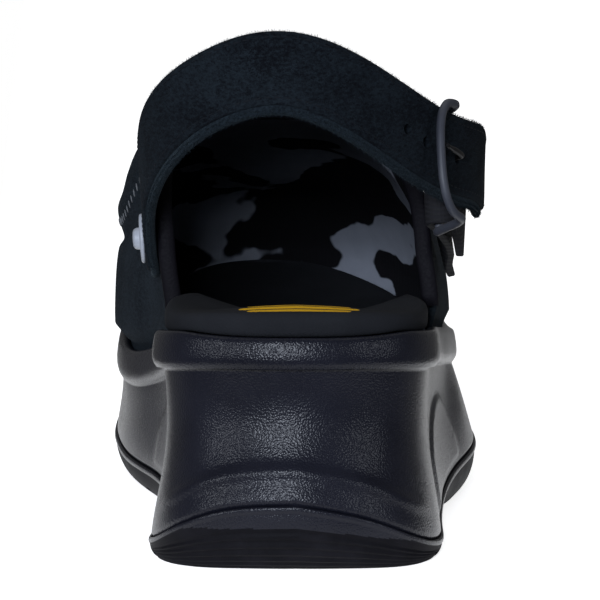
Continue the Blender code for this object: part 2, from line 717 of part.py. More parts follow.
def build_buckle_anchor():
    """A strip from the upper's side, folded round the buckle's bar and back under the strap's tail."""
    middle, along, across, out = buckle_axes()
    bend = BAR_RADIUS + GAP + 0.5 * ANCHOR_THICK
    centre = middle + along * PIVOT[0] - across * ANCHOR_DROP + out * PIVOT[1]
    fine, run = strap_walk()
    path = []
    for reach in (40.0, 33.0, 26.0, 19.0):
        t = float(np.interp(np.interp(BUCKLE_ROW, fine, run) + reach, run, fine))
        spot, ahead, up, away = strap_frame(t)
        inside = away * (0.5 * STRAP_THICK + GAP + 0.5 * ANCHOR_THICK + 0.9)
        path.append((spot - up * (0.4 * reach - 2.0) - inside, up, 0.4 * up - ahead))
    for a in range(90, 271, 30):
        turn = math.radians(a)
        spot = centre + bend * (along * math.cos(turn) + out * math.sin(turn))
        path.append((spot, across, out * math.cos(turn) - along * math.sin(turn)))
    fold = path[-1]
    seat = []
    for y in (94.0, 100.0, 106.0, 112.0):
        z = 83.4 - 0.5 * (y - 92.0)
        up = upper_at(1, y + 4.0, z + 9.0) - upper_at(1, y - 4.0, z - 9.0)
        stand = GAP + 0.5 * ANCHOR_THICK + 1.5 + 1.8 * (1.0 - smoothstep(94.0, 104.0, y))
        seat.append((upper_at(1, y, z) + np.array([stand, 0.0, 0.0]), up / np.linalg.norm(up)))
    slope = seat[-1][0] - seat[0][0]
    slope /= np.linalg.norm(slope)
    for share in (0.35, 0.7):
        spot = fold[0] * (1.0 - share) + seat[0][0] * share + np.array([1.2, 0.0, 0.0])
        path.append((spot, fold[1] * (1.0 - share) + seat[0][1] * share, seat[0][0] - fold[0]))
    path += [(spot, up, slope) for spot, up in seat]
    sections = []
    for spot, up, run in path:
        run = run / np.linalg.norm(run)
        wide = up - run * up.dot(run)
        wide /= np.linalg.norm(wide)
        thick = np.cross(run, wide) * 0.5 * ANCHOR_THICK
        half = wide * 0.5 * ANCHOR_WIDE
        sections.append([spot - half - thick, spot + half - thick,
                         spot + half + thick, spot - half + thick])
    anchor = solid("buckle_anchor", *tube(sections, False))
    slot = []
    for reach in (-bend - 3.0, 4.0):
        corners = ((-1.4, -6.0), (1.4, -6.0), (1.4, 6.0), (-1.4, 6.0))
        slot.append([centre + along * reach + across * (a + ANCHOR_DROP) + out * b for a, b in corners])
    cut(anchor, "prong_slot", *tube(slot, False))
    return anchor


def build_rivet(upper):
    middle, along, across, out = strap_frame(RIVET_ROW)
    face = 0.5 * STRAP_THICK + 5 * GAP
    through = -(0.5 * STRAP_THICK + SEAT + 0.8 * WALL)
    profile = [(through, 2.0), (face, 2.0), (face, WASHER_RADIUS), (face + 0.9, WASHER_RADIUS - 0.2),
               (face + 1.2, WASHER_RADIUS - 0.8), (face + 1.2, HEAD_RADIUS), (face + 2.6, HEAD_RADIUS),
               (face + 3.6, HEAD_RADIUS - 0.9), (face + 4.0, 1.2)]
    cut(upper, "rivet_hole", *turned([(through - 6.0, 2.3), (4.0, 2.3)], middle, out, 12))
    return solid("rivet", *turned(profile, middle, out, 20))


def main():
    for old in list(bpy.data.objects):
        bpy.data.objects.remove(old)
    parts = [build_midsole(), build_outsole(), build_insole()]
    upper = build_upper()
    parts += [upper, build_collar_binding(), build_heel_strap(), build_buckle_frame(), build_buckle_prong(),
              build_buckle_anchor(), build_rivet(upper)]
    corners = [part.matrix_world @ v.co for part in parts for v in part.data.vertices]
    low = Vector([min(c[i] for c in corners) for i in range(3)])
    high = Vector([max(c[i] for c in corners) for i in range(3)])
    shift = Vector((-0.5 * (low.x + high.x), -0.5 * (low.y + high.y), -low.z))
    for part in parts:
        for vertex in part.data.vertices:
            vertex.co += shift
    print("size", [round(c, 5) for c in high - low], "shift", [round(c, 5) for c in shift])


main()
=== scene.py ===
# %% [markdown]
# # Dressing a suede platform clog
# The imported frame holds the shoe's pieces as plain solids. This lesson gives each of them its finished form:
# pebbled foam, ribbed rubber, napped suede, a printed lining, thread and a moulded buckle. Every new piece is
# made in the same frame, so nothing has to be fitted by eye afterwards.

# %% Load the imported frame
import json
import math
from contextlib import contextmanager

import bmesh
import bpy
import numpy as np
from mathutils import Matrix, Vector

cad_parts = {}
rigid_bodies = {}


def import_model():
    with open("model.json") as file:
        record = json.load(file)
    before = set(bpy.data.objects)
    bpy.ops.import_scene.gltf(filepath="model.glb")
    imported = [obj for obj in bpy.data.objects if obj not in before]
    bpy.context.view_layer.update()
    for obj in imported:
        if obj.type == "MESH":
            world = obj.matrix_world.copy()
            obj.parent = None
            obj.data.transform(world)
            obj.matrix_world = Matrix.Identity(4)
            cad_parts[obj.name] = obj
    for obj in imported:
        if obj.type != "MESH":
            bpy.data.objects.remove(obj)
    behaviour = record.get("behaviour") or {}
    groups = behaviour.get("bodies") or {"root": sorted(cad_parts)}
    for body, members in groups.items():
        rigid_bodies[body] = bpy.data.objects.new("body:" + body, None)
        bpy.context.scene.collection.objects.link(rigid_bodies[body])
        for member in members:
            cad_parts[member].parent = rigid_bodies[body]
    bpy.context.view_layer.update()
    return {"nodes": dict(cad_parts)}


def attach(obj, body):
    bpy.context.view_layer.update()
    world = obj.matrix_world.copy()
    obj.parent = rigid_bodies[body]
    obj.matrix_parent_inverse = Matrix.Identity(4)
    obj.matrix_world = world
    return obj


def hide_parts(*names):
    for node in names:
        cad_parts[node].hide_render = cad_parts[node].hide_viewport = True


for old in list(bpy.data.objects):
    bpy.data.objects.remove(old)
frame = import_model()
print("frame nodes:", sorted(frame["nodes"]))

# %% [markdown]
# ## Node trees as Python expressions
# A finish is a small network of nodes. Wiring it by hand is slow to read, so one class wraps a socket and
# turns + - * ** into Math nodes, and one method adds any other node: its type, its settings, then its sockets.
# The same method builds the Geometry Nodes trees further down.

# %% Sockets with arithmetic
class Wire:
    """A node's output that can be used in arithmetic."""

    def __init__(self, graph, socket):
        self.graph = graph
        self.socket = socket

    def other(self, name):
        return Wire(self.graph, self.socket.node.outputs[name])

    def math(self, operation, first, second):
        return self.graph.node("ShaderNodeMath", {"operation": operation}, {0: first, 1: second})

    def __add__(self, value):
        return self.math("ADD", self, value)

    def __sub__(self, value):
        return self.math("SUBTRACT", self, value)

    def __rsub__(self, value):
        return self.math("SUBTRACT", value, self)

    def __mul__(self, value):
        return self.math("MULTIPLY", self, value)

    def __pow__(self, value):
        return self.math("POWER", self, value)

    __radd__ = __add__
    __rmul__ = __mul__


class Graph:
    """A node tree and the one method that adds to it."""

    def __init__(self, tree):
        self.tree = tree

    def node(self, kind, settings=(), sockets=(), out=0):
        made = self.tree.nodes.new(kind)
        for key, value in dict(settings).items():
            setattr(made, key, value)
        for key, value in dict(sockets).items():
            if isinstance(value, Wire):
                self.tree.links.new(value.socket, made.inputs[key])
            else:
                made.inputs[key].default_value = value
        return Wire(self, made.outputs[out]) if made.outputs else None


# %% A finish: a Principled shader and the textures that feed it
class Finish(Graph):
    """A material; constants go straight onto the shader's sockets."""

    def __init__(self, name, **constants):
        self.material = bpy.data.materials.new(name)
        self.material.use_nodes = True
        super().__init__(self.material.node_tree)
        self.shader = self.tree.nodes["Principled BSDF"]
        for key, value in constants.items():
            self.shader.inputs[key.replace("_", " ")].default_value = value
        self.place = self.node("ShaderNodeTexCoord").other("Object")

    def feed(self, socket, wire):
        self.tree.links.new(wire.socket, self.shader.inputs[socket])

    def noise(self, scale, detail=2.0, rough=0.5, place=None):
        sockets = {"Vector": place or self.place, "Scale": scale, "Detail": detail, "Roughness": rough}
        return self.node("ShaderNodeTexNoise", {}, sockets)

    def cells(self, scale):
        sockets = {"Vector": self.place, "Scale": scale, "Smoothness": 0.35}
        return self.node("ShaderNodeTexVoronoi", {"feature": "SMOOTH_F1"}, sockets)

    def step(self, value, low, high, start=0.0, end=1.0):
        """A soft step from start to end as the value goes from low to high."""
        sockets = {"Value": value, "From Min": low, "From Max": high, "To Min": start, "To Max": end}
        return self.node("ShaderNodeMapRange", {"interpolation_type": "SMOOTHSTEP"}, sockets)

    def mix(self, share, first, second):
        return self.node("ShaderNodeMix", {"data_type": "RGBA"}, {0: share, 6: first, 7: second}, 2)

    def tones(self, share, dark, light):
        """Feed the base colour, from dark where the share is 0 to light where it is 1."""
        self.feed("Base Color", self.mix(share, colour(*dark), colour(*light)))

    def stretch(self, scale, turn=(0.0, 0.0, 0.0), slide=(0.0, 0.0, 0.0)):
        sockets = {"Vector": self.place, "Scale": scale, "Rotation": turn, "Location": slide}
        return self.node("ShaderNodeMapping", {}, sockets)

    def bump(self, height, distance, strength):
        sockets = {"Height": height, "Distance": distance, "Strength": strength}
        self.feed("Normal", self.node("ShaderNodeBump", {}, sockets))


def colour(red, green, blue):
    return (red, green, blue, 1.0)


def worn(name, scale, detail, rough, dark, light, **constants):
    """A finish with one noise in both its colour and its gloss."""
    made = Finish(name, **constants)
    wear = made.noise(scale, detail)
    made.tones(wear, dark, light)
    made.feed("Roughness", rough + 0.2 * wear)
    return made


# %% [markdown]
# ## The shoe's measures
# The solids were drawn from short tables in millimetres, measured from the back of the heel. The same tables
# and the same smooth curves through them are repeated here, because a finished piece is the same form with
# many more points on it. A natural cubic spline through each column keeps every edge flowing.

# %% Curves through a table
MM = 0.001
SHIFT = np.array([1.0, -129.1, 0.0])   # from the tables' corner to the frame's origin


def spline(knots, values):
    """A smooth function through a table's column: the natural cubic spline."""
    x = np.array(knots, float)
    y = np.array(values, float)
    n = len(x)
    h = np.diff(x)
    lhs = np.eye(n)
    rhs = np.zeros(n)
    for i in range(1, n - 1):
        lhs[i, i - 1:i + 2] = (h[i - 1], 2.0 * (h[i - 1] + h[i]), h[i])
        rhs[i] = 6.0 * ((y[i + 1] - y[i]) / h[i] - (y[i] - y[i - 1]) / h[i - 1])
    bend = np.linalg.solve(lhs, rhs)

    def at(t):
        t = np.asarray(t, float)
        i = np.clip(np.searchsorted(x, t) - 1, 0, n - 2)
        a = (x[i + 1] - t) / h[i]
        b = 1.0 - a
        curve = ((a ** 3 - a) * bend[i] + (b ** 3 - b) * bend[i + 1]) * h[i] ** 2 / 6.0
        return a * y[i] + b * y[i + 1] + curve
    return at


def smoothstep(low, high, t):
    t = np.clip((np.asarray(t, float) - low) / (high - low), 0.0, 1.0)
    return t * t * (3.0 - 2.0 * t)


def fade(low, high, t):
    """A smooth step down, from 1 to 0."""
    return 1.0 - smoothstep(low, high, t)


def hill(rise, top, fall, foot, t):
    """Up from rise to top, and down again from fall to foot."""
    return smoothstep(rise, top, t) * fade(fall, foot, t)


def bell(t, middle, width):
    """A soft bump of height 1."""
    return np.exp(-((np.asarray(t, float) - middle) / width) ** 2)


def columns_of(names, rows, knots):
    table = np.array(rows, float)
    return {name: spline(knots, table[:, k]) for k, name in enumerate(names.split())}


# %% Meshes from grids of points
def quads(rows, columns, wrap=False, start=0):
    """Faces of a grid of points numbered row by row."""
    r, c = np.meshgrid(np.arange(rows - 1), np.arange(columns if wrap else columns - 1), indexing="ij")
    d = (c + 1) % columns
    corners = [r * columns + c, r * columns + d, (r + 1) * columns + d, (r + 1) * columns + c]
    return (start + np.stack(corners, -1)).reshape(-1, 4).tolist()


def add_object(name, data):
    """A new object in the scene."""
    made = bpy.data.objects.new(name, data)
    bpy.context.scene.collection.objects.link(made)
    return made


@contextmanager
def editing(mesh):
    """Open a mesh for changes and write them back."""
    work = bmesh.new()
    work.from_mesh(mesh)
    yield work
    work.to_mesh(mesh)
    work.free()


def piece(name, points, faces, *materials, pick=None, smooth=True):
    """A mesh object; points are in the tables' millimetres, pick gives each face's material number."""
    mesh = bpy.data.meshes.new(name)
    spots = (np.asarray(points, float).reshape(-1, 3) + SHIFT) * MM
    mesh.from_pydata(spots.tolist(), [], [tuple(f) for f in faces])
    for material in materials:
        mesh.materials.append(material)
    if pick is not None:
        mesh.polygons.foreach_set("material_index", np.asarray(pick, np.int32))
    with editing(mesh) as work:
        bmesh.ops.recalc_face_normals(work, faces=work.faces)
        for face in work.faces:
            face.smooth = smooth
    return add_object(name, mesh)


def settle(made, node=None):
    """Ride on the shoe's body and stand for a CAD node."""
    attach(made, "root")
    if node:
        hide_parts(node)
    triangles = sum(len(p.vertices) - 2 for p in made.data.polygons)
    print(f"{made.name}: {triangles} triangles")


def keep(made):
    """Put in place of a mesh and its modifiers what they make together."""
    graph = bpy.context.evaluated_depsgraph_get()
    mesh = bpy.data.meshes.new_from_object(made.evaluated_get(graph))
    made.modifiers.clear()
    made.data = mesh


def cut(made, points, faces, angle=None):
    """Take a helper shape away with an exact Boolean; edges beyond the angle are left sharp."""
    tool = piece("tool", points, faces, smooth=False)
    boolean = made.modifiers.new("cut", "BOOLEAN")
    boolean.operation = "DIFFERENCE"
    boolean.solver = "EXACT"
    boolean.object = tool
    keep(made)
    bpy.data.objects.remove(tool)
    if angle:
        with editing(made.data) as work:
            for fold in work.edges:
                if len(fold.link_faces) == 2 and fold.calc_face_angle(0.0) > math.radians(angle):
                    fold.smooth = False


def tube(sections, closed=False):
    """A swept outline: sections are rows of points of equal count."""
    grid = np.array(sections, float)
    rows, count = grid.shape[:2]
    if closed:
        grid = np.concatenate([grid, grid[:1]])
        faces = quads(rows + 1, count, wrap=True)
        faces = [[i % (rows * count) for i in f] for f in faces]
        return grid[:rows].reshape(-1, 3), faces
    faces = quads(rows, count, wrap=True)
    faces.append(list(range(count)))
    faces.append(list(range((rows - 1) * count, rows * count)))
    return grid.reshape(-1, 3), faces


# %% The sole's outline
LENGTH = 256.0
BAND = 9.2               # height of the band under the upper
UNDER_BAND = 1.8         # what the bevel and the step below it take from the wall's height
BAND_STEP = 1.1          # how far the wall steps in there
SCOOP_TOP = 0.64         # where the scoop is deepest, as a share of the wall
SCOOP_DEEP = 1.2         # its depth, as a share of the table's
SCOOP_BEND = 1.35        # how gently it begins
RIM_WALL = 3.4
RIM_SLACK = 0.2          # between that wall and what stands in it
RECESS = 4.0             # how deep the deck lies under the rim
RECESS_HEEL = 0.6        # and how deep at the open heel
GAP = 0.3                # between pieces that touch
COLUMNS = 150            # stations along each side
SOLE_NAMES = ("y centre half_width rim_medial rim_lateral lip_medial lip_lateral "
              "flare_medial flare_lateral scoop tuck")
SOLE_ROWS = [
    (0, 0.0, 0.0, 64.3, 64.3, 19.0, 19.0, 0.3, 0.3, 4.6, 15.5),
    (4, -0.2, 18.5, 63.9, 63.9, 17.2, 14.8, 0.3, 0.3, 4.5, 12.6),
    (12, -0.4, 29.5, 63.0, 63.0, 12.4, 9.6, 0.4, 0.4, 4.1, 7.0),
    (25, -0.4, 36.0, 61.5, 61.5, 6.8, 5.6, 0.5, 0.5, 3.4, 2.4),
    (40, -0.2, 38.2, 59.7, 59.9, 4.0, 4.2, 0.6, 0.6, 3.0, 1.6),
    (60, 0.8, 38.0, 57.0, 57.9, 4.4, 5.2, 0.0, 0.0, 2.4, 1.8),
    (85, 2.3, 39.0, 51.6, 54.4, 8.0, 9.2, -1.0, -0.5, 2.0, 4.0),
    (110, 1.5, 42.3, 46.0, 51.2, 9.5, 12.2, -0.7, 1.8, 1.6, 6.5),
    (130, -0.4, 45.8, 41.8, 48.4, 9.4, 13.2, -0.5, 4.4, 1.2, 7.5),
    (150, -2.5, 47.9, 39.6, 46.2, 9.4, 13.6, -0.4, 5.8, 1.0, 7.5),
    (165, -3.7, 48.6, 39.4, 45.0, 9.6, 13.6, -0.3, 6.0, 1.0, 7.5),
    (185, -4.6, 48.6, 40.6, 44.2, 10.4, 13.6, 0.4, 5.2, 0.9, 8.0),
    (205, -5.5, 46.2, 42.8, 44.4, 12.4, 14.6, 1.4, 4.0, 0.9, 9.0),
    (225, -7.0, 40.6, 45.8, 46.2, 16.0, 17.0, 2.2, 3.0, 1.0, 11.0),
    (240, -8.5, 32.4, 48.4, 48.4, 19.8, 20.2, 2.4, 2.5, 1.1, 13.0),
    (250, -9.5, 21.6, 50.4, 50.4, 22.6, 22.6, 2.5, 2.5, 1.2, 14.5),
    (256, -10.0, 0.0, 51.6, 51.6, 24.2, 24.2, 2.5, 2.5, 1.2, 15.0),
]


def u_of(y):
    return math.acos(1.0 - 2.0 * y / LENGTH) / math.pi


def y_of(u):
    return 0.5 * LENGTH * (1.0 - np.cos(math.pi * np.asarray(u, float)))


SOLE = columns_of(SOLE_NAMES, SOLE_ROWS, [u_of(row[0]) for row in SOLE_ROWS])


def sided(name, u, side):
    """A column kept once for each side; side is +1 lateral, -1 medial."""
    return np.where(np.asarray(side) > 0, SOLE[name + "_lateral"](u), SOLE[name + "_medial"](u))


def recess(u):
    return RECESS_HEEL + (RECESS - RECESS_HEEL) * smoothstep(52.0, 76.0, y_of(u))


def edge(u, side, offset):
    """Plan points of the band's outline moved outward by the offset."""
    u = np.asarray(u, float)
    step = 1e-4

    def plan(t):
        return np.stack([SOLE["centre"](t) + side * np.maximum(SOLE["half_width"](t), 0.0), y_of(t)], -1)

    along = plan(np.minimum(u + step, 1.0)) - plan(np.maximum(u - step, 0.0))
    out = np.stack([side * along[..., 1], -side * along[..., 0]], -1)
    ends = ((u < step) | (u > 1.0 - step))[..., None]
    tip = np.stack([np.zeros_like(u), np.where(u < 0.5, -1.0, 1.0)], -1)
    out = np.where(ends, tip, out / np.maximum(np.linalg.norm(out, axis=-1, keepdims=True), 1e-12))
    return plan(u) + out * np.asarray(offset)[..., None]


ROUND_U = np.concatenate([np.arange(COLUMNS + 1), np.arange(COLUMNS - 1, 0, -1)]) / COLUMNS
ROUND_SIDE = np.concatenate([np.ones(COLUMNS + 1), -np.ones(COLUMNS - 1)])
ROUND_Y = y_of(ROUND_U)
FLARE, LIP, RIM = (sided(name, ROUND_U, ROUND_SIDE) for name in ("flare", "lip", "rim"))


def ring(offset, height):
    """One closed line round the sole from an offset and a height at every station."""
    offset = np.broadcast_to(offset, ROUND_U.shape)
    height = np.broadcast_to(height, ROUND_U.shape)
    return np.concatenate([edge(ROUND_U, ROUND_SIDE, offset), height[:, None]], -1)


def stack(rings, across, top=None):
    """Rings from bottom to top, closed by rows of faces from side to side; top lifts the upper cap."""
    count = 2 * COLUMNS
    points = np.array(rings).reshape(-1, 3)
    faces = quads(len(rings), count, wrap=True)
    for level in (0, len(rings) - 1):
        base = level * count
        inner = np.arange(1, COLUMNS)
        right = points[base + inner]
        left = points[base + count - inner]
        v = (np.arange(1, across) / across)[None, :, None]
        between = right[:, None] * (1.0 - v) + left[:, None] * v
        if top and level:
            between[..., 2] += top(inner[:, None] / COLUMNS, v[..., 0])
        numbers = len(points) + np.arange((COLUMNS - 1) * (across - 1)).reshape(COLUMNS - 1, -1)
        rows = np.concatenate([(base + inner)[:, None], numbers, (base + count - inner)[:, None]], 1)
        points = np.concatenate([points, between.reshape(-1, 3)])
        for k in range(across):
            faces.append([base, rows[0, k], rows[0, k + 1]])
            faces.append([base + COLUMNS, rows[-1, k + 1], rows[-1, k]])
        corners = np.stack([rows[:-1, :-1], rows[1:, :-1], rows[1:, 1:], rows[:-1, 1:]], -1)
        faces += corners.reshape(-1, 4).tolist()
    return points, faces


print("sole outline:", 2 * COLUMNS, "stations")

# %% [markdown]
# ## The platform
# The thick sole is one moulding of dark grey foam. From behind it shows a band under the upper, a deep scoop up
# the back of the heel that catches the light, a soft ledge over the tread and a raised pad on each side. All
# of that is an outward offset that changes up the wall, so rings of points are stacked from the tread to the
# rim. Carving it from a block would leave stepped shading; rings follow the moulding's own lines.

# %% Build the platform
WALL_ROWS = 46
BEVEL = (0.5, 0.8)                       # the foam's lowest edge: in and up
RAISED = 0.9                             # how far the ledge and the pads stand out
HEEL_LEDGE = (8.6, 1.9)                  # its height over the tread and its softness
PAD_SPAN = (57.0, 60.0, 108.0, 112.0)    # where the side pads rise and end
PAD_TOP = (36.0, 84.0, 0.02)             # their arched top: height, middle and fall
HEEL_DIP = (1.6, 16.0)                   # the rim is lower at the back: how much, and how far round
BAND_PROFILE = [(9.9, -0.95), (9.5, -0.7), (9.0, -0.35), (8.4, 0.0), (7.4, 0.25), (6.0, 0.28), (4.2, 0.1),
                (2.8, -0.12), (1.8, -0.3), (1.0, -0.5), (0.45, -0.85), (0.1, -1.35), (0.0, -1.9),
                (0.15, -2.8), (0.5, -RIM_WALL)]     # down from the rim, and out


def wall_offset(f):
    """Outward offset of the foam's side, f from 0 at the tread to 1 under the band."""
    scoop = SCOOP_DEEP * SOLE["scoop"](ROUND_U) * math.sin(0.5 * math.pi * f / SCOOP_TOP) ** SCOOP_BEND
    return FLARE * (1.0 - f) - scoop * fade(1.5, 4.5, FLARE) - BAND_STEP * f ** 3


def relief(height):
    """The heel's ledge and the side pads, raised on the wall."""
    up = height - foam_low
    ledge = fade(10.0, 30.0, ROUND_Y) * bell(up, *HEEL_LEDGE)
    top, middle, fall = PAD_TOP
    arch = top - fall * (ROUND_Y - middle) ** 2
    pad = hill(*PAD_SPAN, ROUND_Y) * fade(arch - 2.0, arch + 0.5, height) * smoothstep(1.0, 4.0, up)
    return RAISED * (ledge + pad)


foam_low = LIP + 0.5 * GAP
foam_rings = [ring(FLARE - BEVEL[0], foam_low)]
for f in np.linspace(0.0, 1.0, WALL_ROWS):
    height = foam_low + BEVEL[1] + f * (RIM - BAND - UNDER_BAND - foam_low)
    foam_rings.append(ring(wall_offset(f) + relief(height), height))
heel_dip = HEEL_DIP[0] * fade(0.0, HEEL_DIP[1], ROUND_Y)
for down, out in BAND_PROFILE:
    foam_rings.append(ring(out, RIM - down - heel_dip * (1.0 - down / BAND_PROFILE[0][0])))
deck = RIM - heel_dip - recess(ROUND_U)
foam_rings.append(ring(-RIM_WALL - RIM_SLACK, deck))
platform_mesh = stack(foam_rings, 6)
print("platform rings:", len(foam_rings))

# %% [markdown]
# Moulded foam has a fine pebbled skin: cells about half a millimetre wide, a little uneven, shinier on top of
# each pebble. Cells from a Voronoi texture make the pebbles, and noise keeps them from looking printed. The skin
# is far too fine to model, so it is a bump.

# %% Finish the platform
foam = Finish("pebbled_foam", Specular_IOR_Level=0.16)
pebble = foam.cells(1900.0)
grain = foam.noise(2600.0, 2.0)
cloud = foam.noise(38.0, 3.0)
foam.tones(foam.step(cloud, 0.3, 0.7), (0.0050, 0.0053, 0.0088), (0.0078, 0.0082, 0.0130))
foam.feed("Roughness", 0.20 + 0.12 * pebble + 0.08 * cloud)
foam.bump(pebble * -1.0 + 0.1 * grain, 0.00011, 0.9)
platform = piece("platform_foam", *platform_mesh, foam.material)
settle(platform, "midsole")

# %% [markdown]
# ## The tread
# Under the foam lies a thin rubber tread. Its heel end curls up the back as a crescent with fine ridges that
# follow the lip, and chevron grooves cross its underside. The ridges are small waves added to the rings of the
# curl; the grooves are cut afterwards, because their sharp ends belong to no ring.

# %% Build the tread
LIP_OUT = 0.4
LIP_TALL = 1.8
LIP_BEAD = ((1.4, 0.25), (0.8, 0.45), (0.3, 0.3), (0.0, -0.3))   # down from the lip's top, and out
ARCH = (72.0, 112.0, 4.0)                # from, to and height
TOE_SPRING = (186.0, 15.0)               # from, and height at the toe
CURL_ROWS = 72
RIDGES = 9
RIDGE_TALL = 0.26
RIDGE_ROWS = 60.0                        # the row where the ridges end at the heel's middle
GROOVES = ((118.0, 9, 3.2), (24.0, 4, 1.8))      # forefoot and heel: first place, count and depth
GROOVE_PITCH = 12.0
GROOVE_WIDE = 3.6
CHEVRON = (75.0, -4.0, 7.0)              # a groove's reach to each side, its tip's place and how far ahead that is


def ground(y):
    """Height of the tread over the floor: flat heel, arch, flat forefoot, toe spring."""
    start, end, rise = ARCH
    arch = rise * np.sin(math.pi * np.clip((y - start) / (end - start), 0.0, 1.0)) ** 2
    start, rise = TOE_SPRING
    return arch + rise * (np.maximum(y - start, 0.0) / (LENGTH - start)) ** 2


lip_top = LIP - 0.5 * GAP
lip_out = FLARE + LIP_OUT
tread_rings = []
for a in np.linspace(90.0, 0.0, CURL_ROWS):
    turn = math.radians(a)
    wave = RIDGE_TALL * math.sin(2.0 * math.pi * RIDGES * a / 90.0) * hill(0.12, 0.22, 0.88, 0.98, a / 90.0)
    wave = wave * fade(18.0, 40.0, ROUND_Y)
    offset = lip_out - SOLE["tuck"](ROUND_U) * (1.0 - math.cos(turn))
    low = ground(edge(ROUND_U, ROUND_SIDE, offset)[:, 1])
    height = low + (lip_top - LIP_TALL - low) * (1.0 - math.sin(turn))
    height = np.maximum(height - wave * math.sin(turn), low)
    tread_rings.append(ring(offset + wave * math.cos(turn), height))
for down, out in LIP_BEAD:
    tread_rings.append(ring(lip_out + out, lip_top - down))
tread_mesh = stack(tread_rings, 4)


def chevrons(first, count, deep):
    """Groove cutters across the tread, pointing forward."""
    reach, tip, ahead = CHEVRON
    points = []
    faces = []
    for y in first + GROOVE_PITCH * np.arange(count):
        base = len(points)
        plan = [(-reach, y), (tip, y + ahead), (reach, y)]
        plan += [(px, py + GROOVE_WIDE) for px, py in plan[::-1]]
        top = float(ground(y + 4.0)) + deep
        points += [(px, py, -2.0) for px, py in plan] + [(px, py, top) for px, py in plan]
        faces += [[base + i for i in range(6)], [base + 6 + i for i in range(6)]]
        faces += [[base + i, base + (i + 1) % 6, base + 6 + (i + 1) % 6, base + 6 + i] for i in range(6)]
    return points, faces


# %% Finish the tread
rubber = Finish("tread_rubber", Specular_IOR_Level=0.05)
dust = rubber.noise(120.0, 4.0)
rubber.tones(rubber.step(dust, 0.4, 0.75), (0.0030, 0.0029, 0.0042), (0.0058, 0.0056, 0.0076))
rubber.feed("Roughness", 0.5 + 0.2 * dust)
rubber.bump(rubber.noise(2200.0, 3.0), 0.0002, 0.4)
walls = len(tread_rings) - 1
lip_from = RIDGE_ROWS + (CURL_ROWS - RIDGE_ROWS) * smoothstep(1.5, 14.0, ROUND_Y)
skin = np.zeros(len(tread_mesh[1]), int)     # the lip over the ridges has the foam's skin
skin[:walls * 2 * COLUMNS] = (np.arange(walls)[:, None] >= lip_from).ravel()
tread = piece("tread", *tread_mesh, rubber.material, foam.material, pick=skin)
for first, count, deep in GROOVES:
    cut(tread, *chevrons(first, count, deep), angle=40.0)
settle(tread, "outsole")

# %% [markdown]
# ## The footbed
# A padded footbed lies on the foam. At the open heel its edge stands over the rim like a second, softer band,
# and its top dips into a heel cup. It is covered in a dark brushed cloth with a plain yellow mark at the heel:
# three rounded bars, drawn by distance in the finish, so that they follow the dip without any geometry.

# %% Build the footbed
FLANKS = (7.2, 5.0)      # how far the edge climbs towards the collar, medial and lateral
BED_EDGE = (4.6, 1.8)    # how far it stands over the rim at the heel, and how much of that it loses ahead
BED_INSET = (3.2, 4.9)   # how far in from the outline it lies at the heel, and how much more ahead
HEEL_ROLL = 2.2
HEEL_CUP = (0.8, 6.0)    # the slope down from the rim, and the cup
BED_PROFILE = ((0.0, 1.2), (0.06, 0.5), (0.15, 0.15), (0.25, 0.0), (0.4, -0.06), (0.55, -0.06), (0.7, 0.02),
               (0.8, 0.2), (0.88, 0.5), (0.94, 0.9), (0.98, 1.4), (1.0, 2.0))    # share of the height, and in


def heel_cup(u, v):
    """The top's rise behind the heel and the dip in front of it."""
    y = y_of(u)
    roll = HEEL_ROLL * hill(0.0, 16.0, 16.0, 46.0, y)
    dip = HEEL_CUP[0] * smoothstep(4.0, 40.0, y) + HEEL_CUP[1] * hill(16.0, 60.0, 95.0, 150.0, y)
    return (roll - dip) * (1.0 - np.abs(2.0 * v - 1.0) ** 1.6)


bed_low = deck + 1.5 * GAP
climb = hill(15.0, 80.0, 92.0, 140.0, ROUND_Y) * np.where(ROUND_SIDE > 0, FLANKS[1], FLANKS[0])
bed_edge = RIM + BED_EDGE[0] - BED_EDGE[1] * smoothstep(40.0, 130.0, ROUND_Y) + climb
bed_offset = -BED_INSET[0] - BED_INSET[1] * smoothstep(48.0, 76.0, ROUND_Y)
bed_rings = [ring(bed_offset - inset, bed_low + share * (bed_edge - bed_low)) for share, inset in BED_PROFILE]
footbed_mesh = stack(bed_rings, 30, top=heel_cup)

# %% Finish the footbed
MARK = (0.6, 13.2)                       # middle of the heel's mark in the tables' millimetres
MARK_PITCH = 3.9
MARK_HALF = (0.0143, 0.0022)             # half a bar's length, and how much shorter the outer two are, in metres
MARK_EDGE = (0.0013, 0.0016)             # a bar's soft edge, from its middle line
MARK_FROM = (0.0678, 0.0681)             # it shows above this height
cloth = Finish("footbed_cloth", Specular_IOR_Level=0.1)
axes = cloth.node("ShaderNodeSeparateXYZ", {}, {0: cloth.place})
mark = 0.0
for row in (-1.0, 0.0, 1.0):
    middle = (np.array([MARK[0], MARK[1] + MARK_PITCH * row, 0.0]) + SHIFT) * MM
    across = axes.math("ABSOLUTE", axes - float(middle[0]), 0.0)
    along = axes.math("ABSOLUTE", axes.other("Y") - float(middle[1]), 0.0)
    beyond = axes.math("MAXIMUM", across - (MARK_HALF[0] - MARK_HALF[1] * abs(row)), 0.0)
    away = (beyond * beyond + along * along) ** 0.5
    mark = cloth.step(away, *MARK_EDGE, 1.0, 0.0) + mark
mark = mark * cloth.step(axes.other("Z"), *MARK_FROM)
weave = cloth.noise(1800.0, 3.0)
dark = cloth.mix(cloth.noise(90.0, 3.0), colour(0.0075, 0.0081, 0.0100), colour(0.0132, 0.0140, 0.0165))
cloth.feed("Base Color", cloth.mix(mark, dark, colour(0.60, 0.33, 0.008)))
cloth.feed("Roughness", 0.82 + 0.12 * weave)
cloth.bump(weave, 0.0003, 0.5)
footbed = piece("footbed", *footbed_mesh, cloth.material)
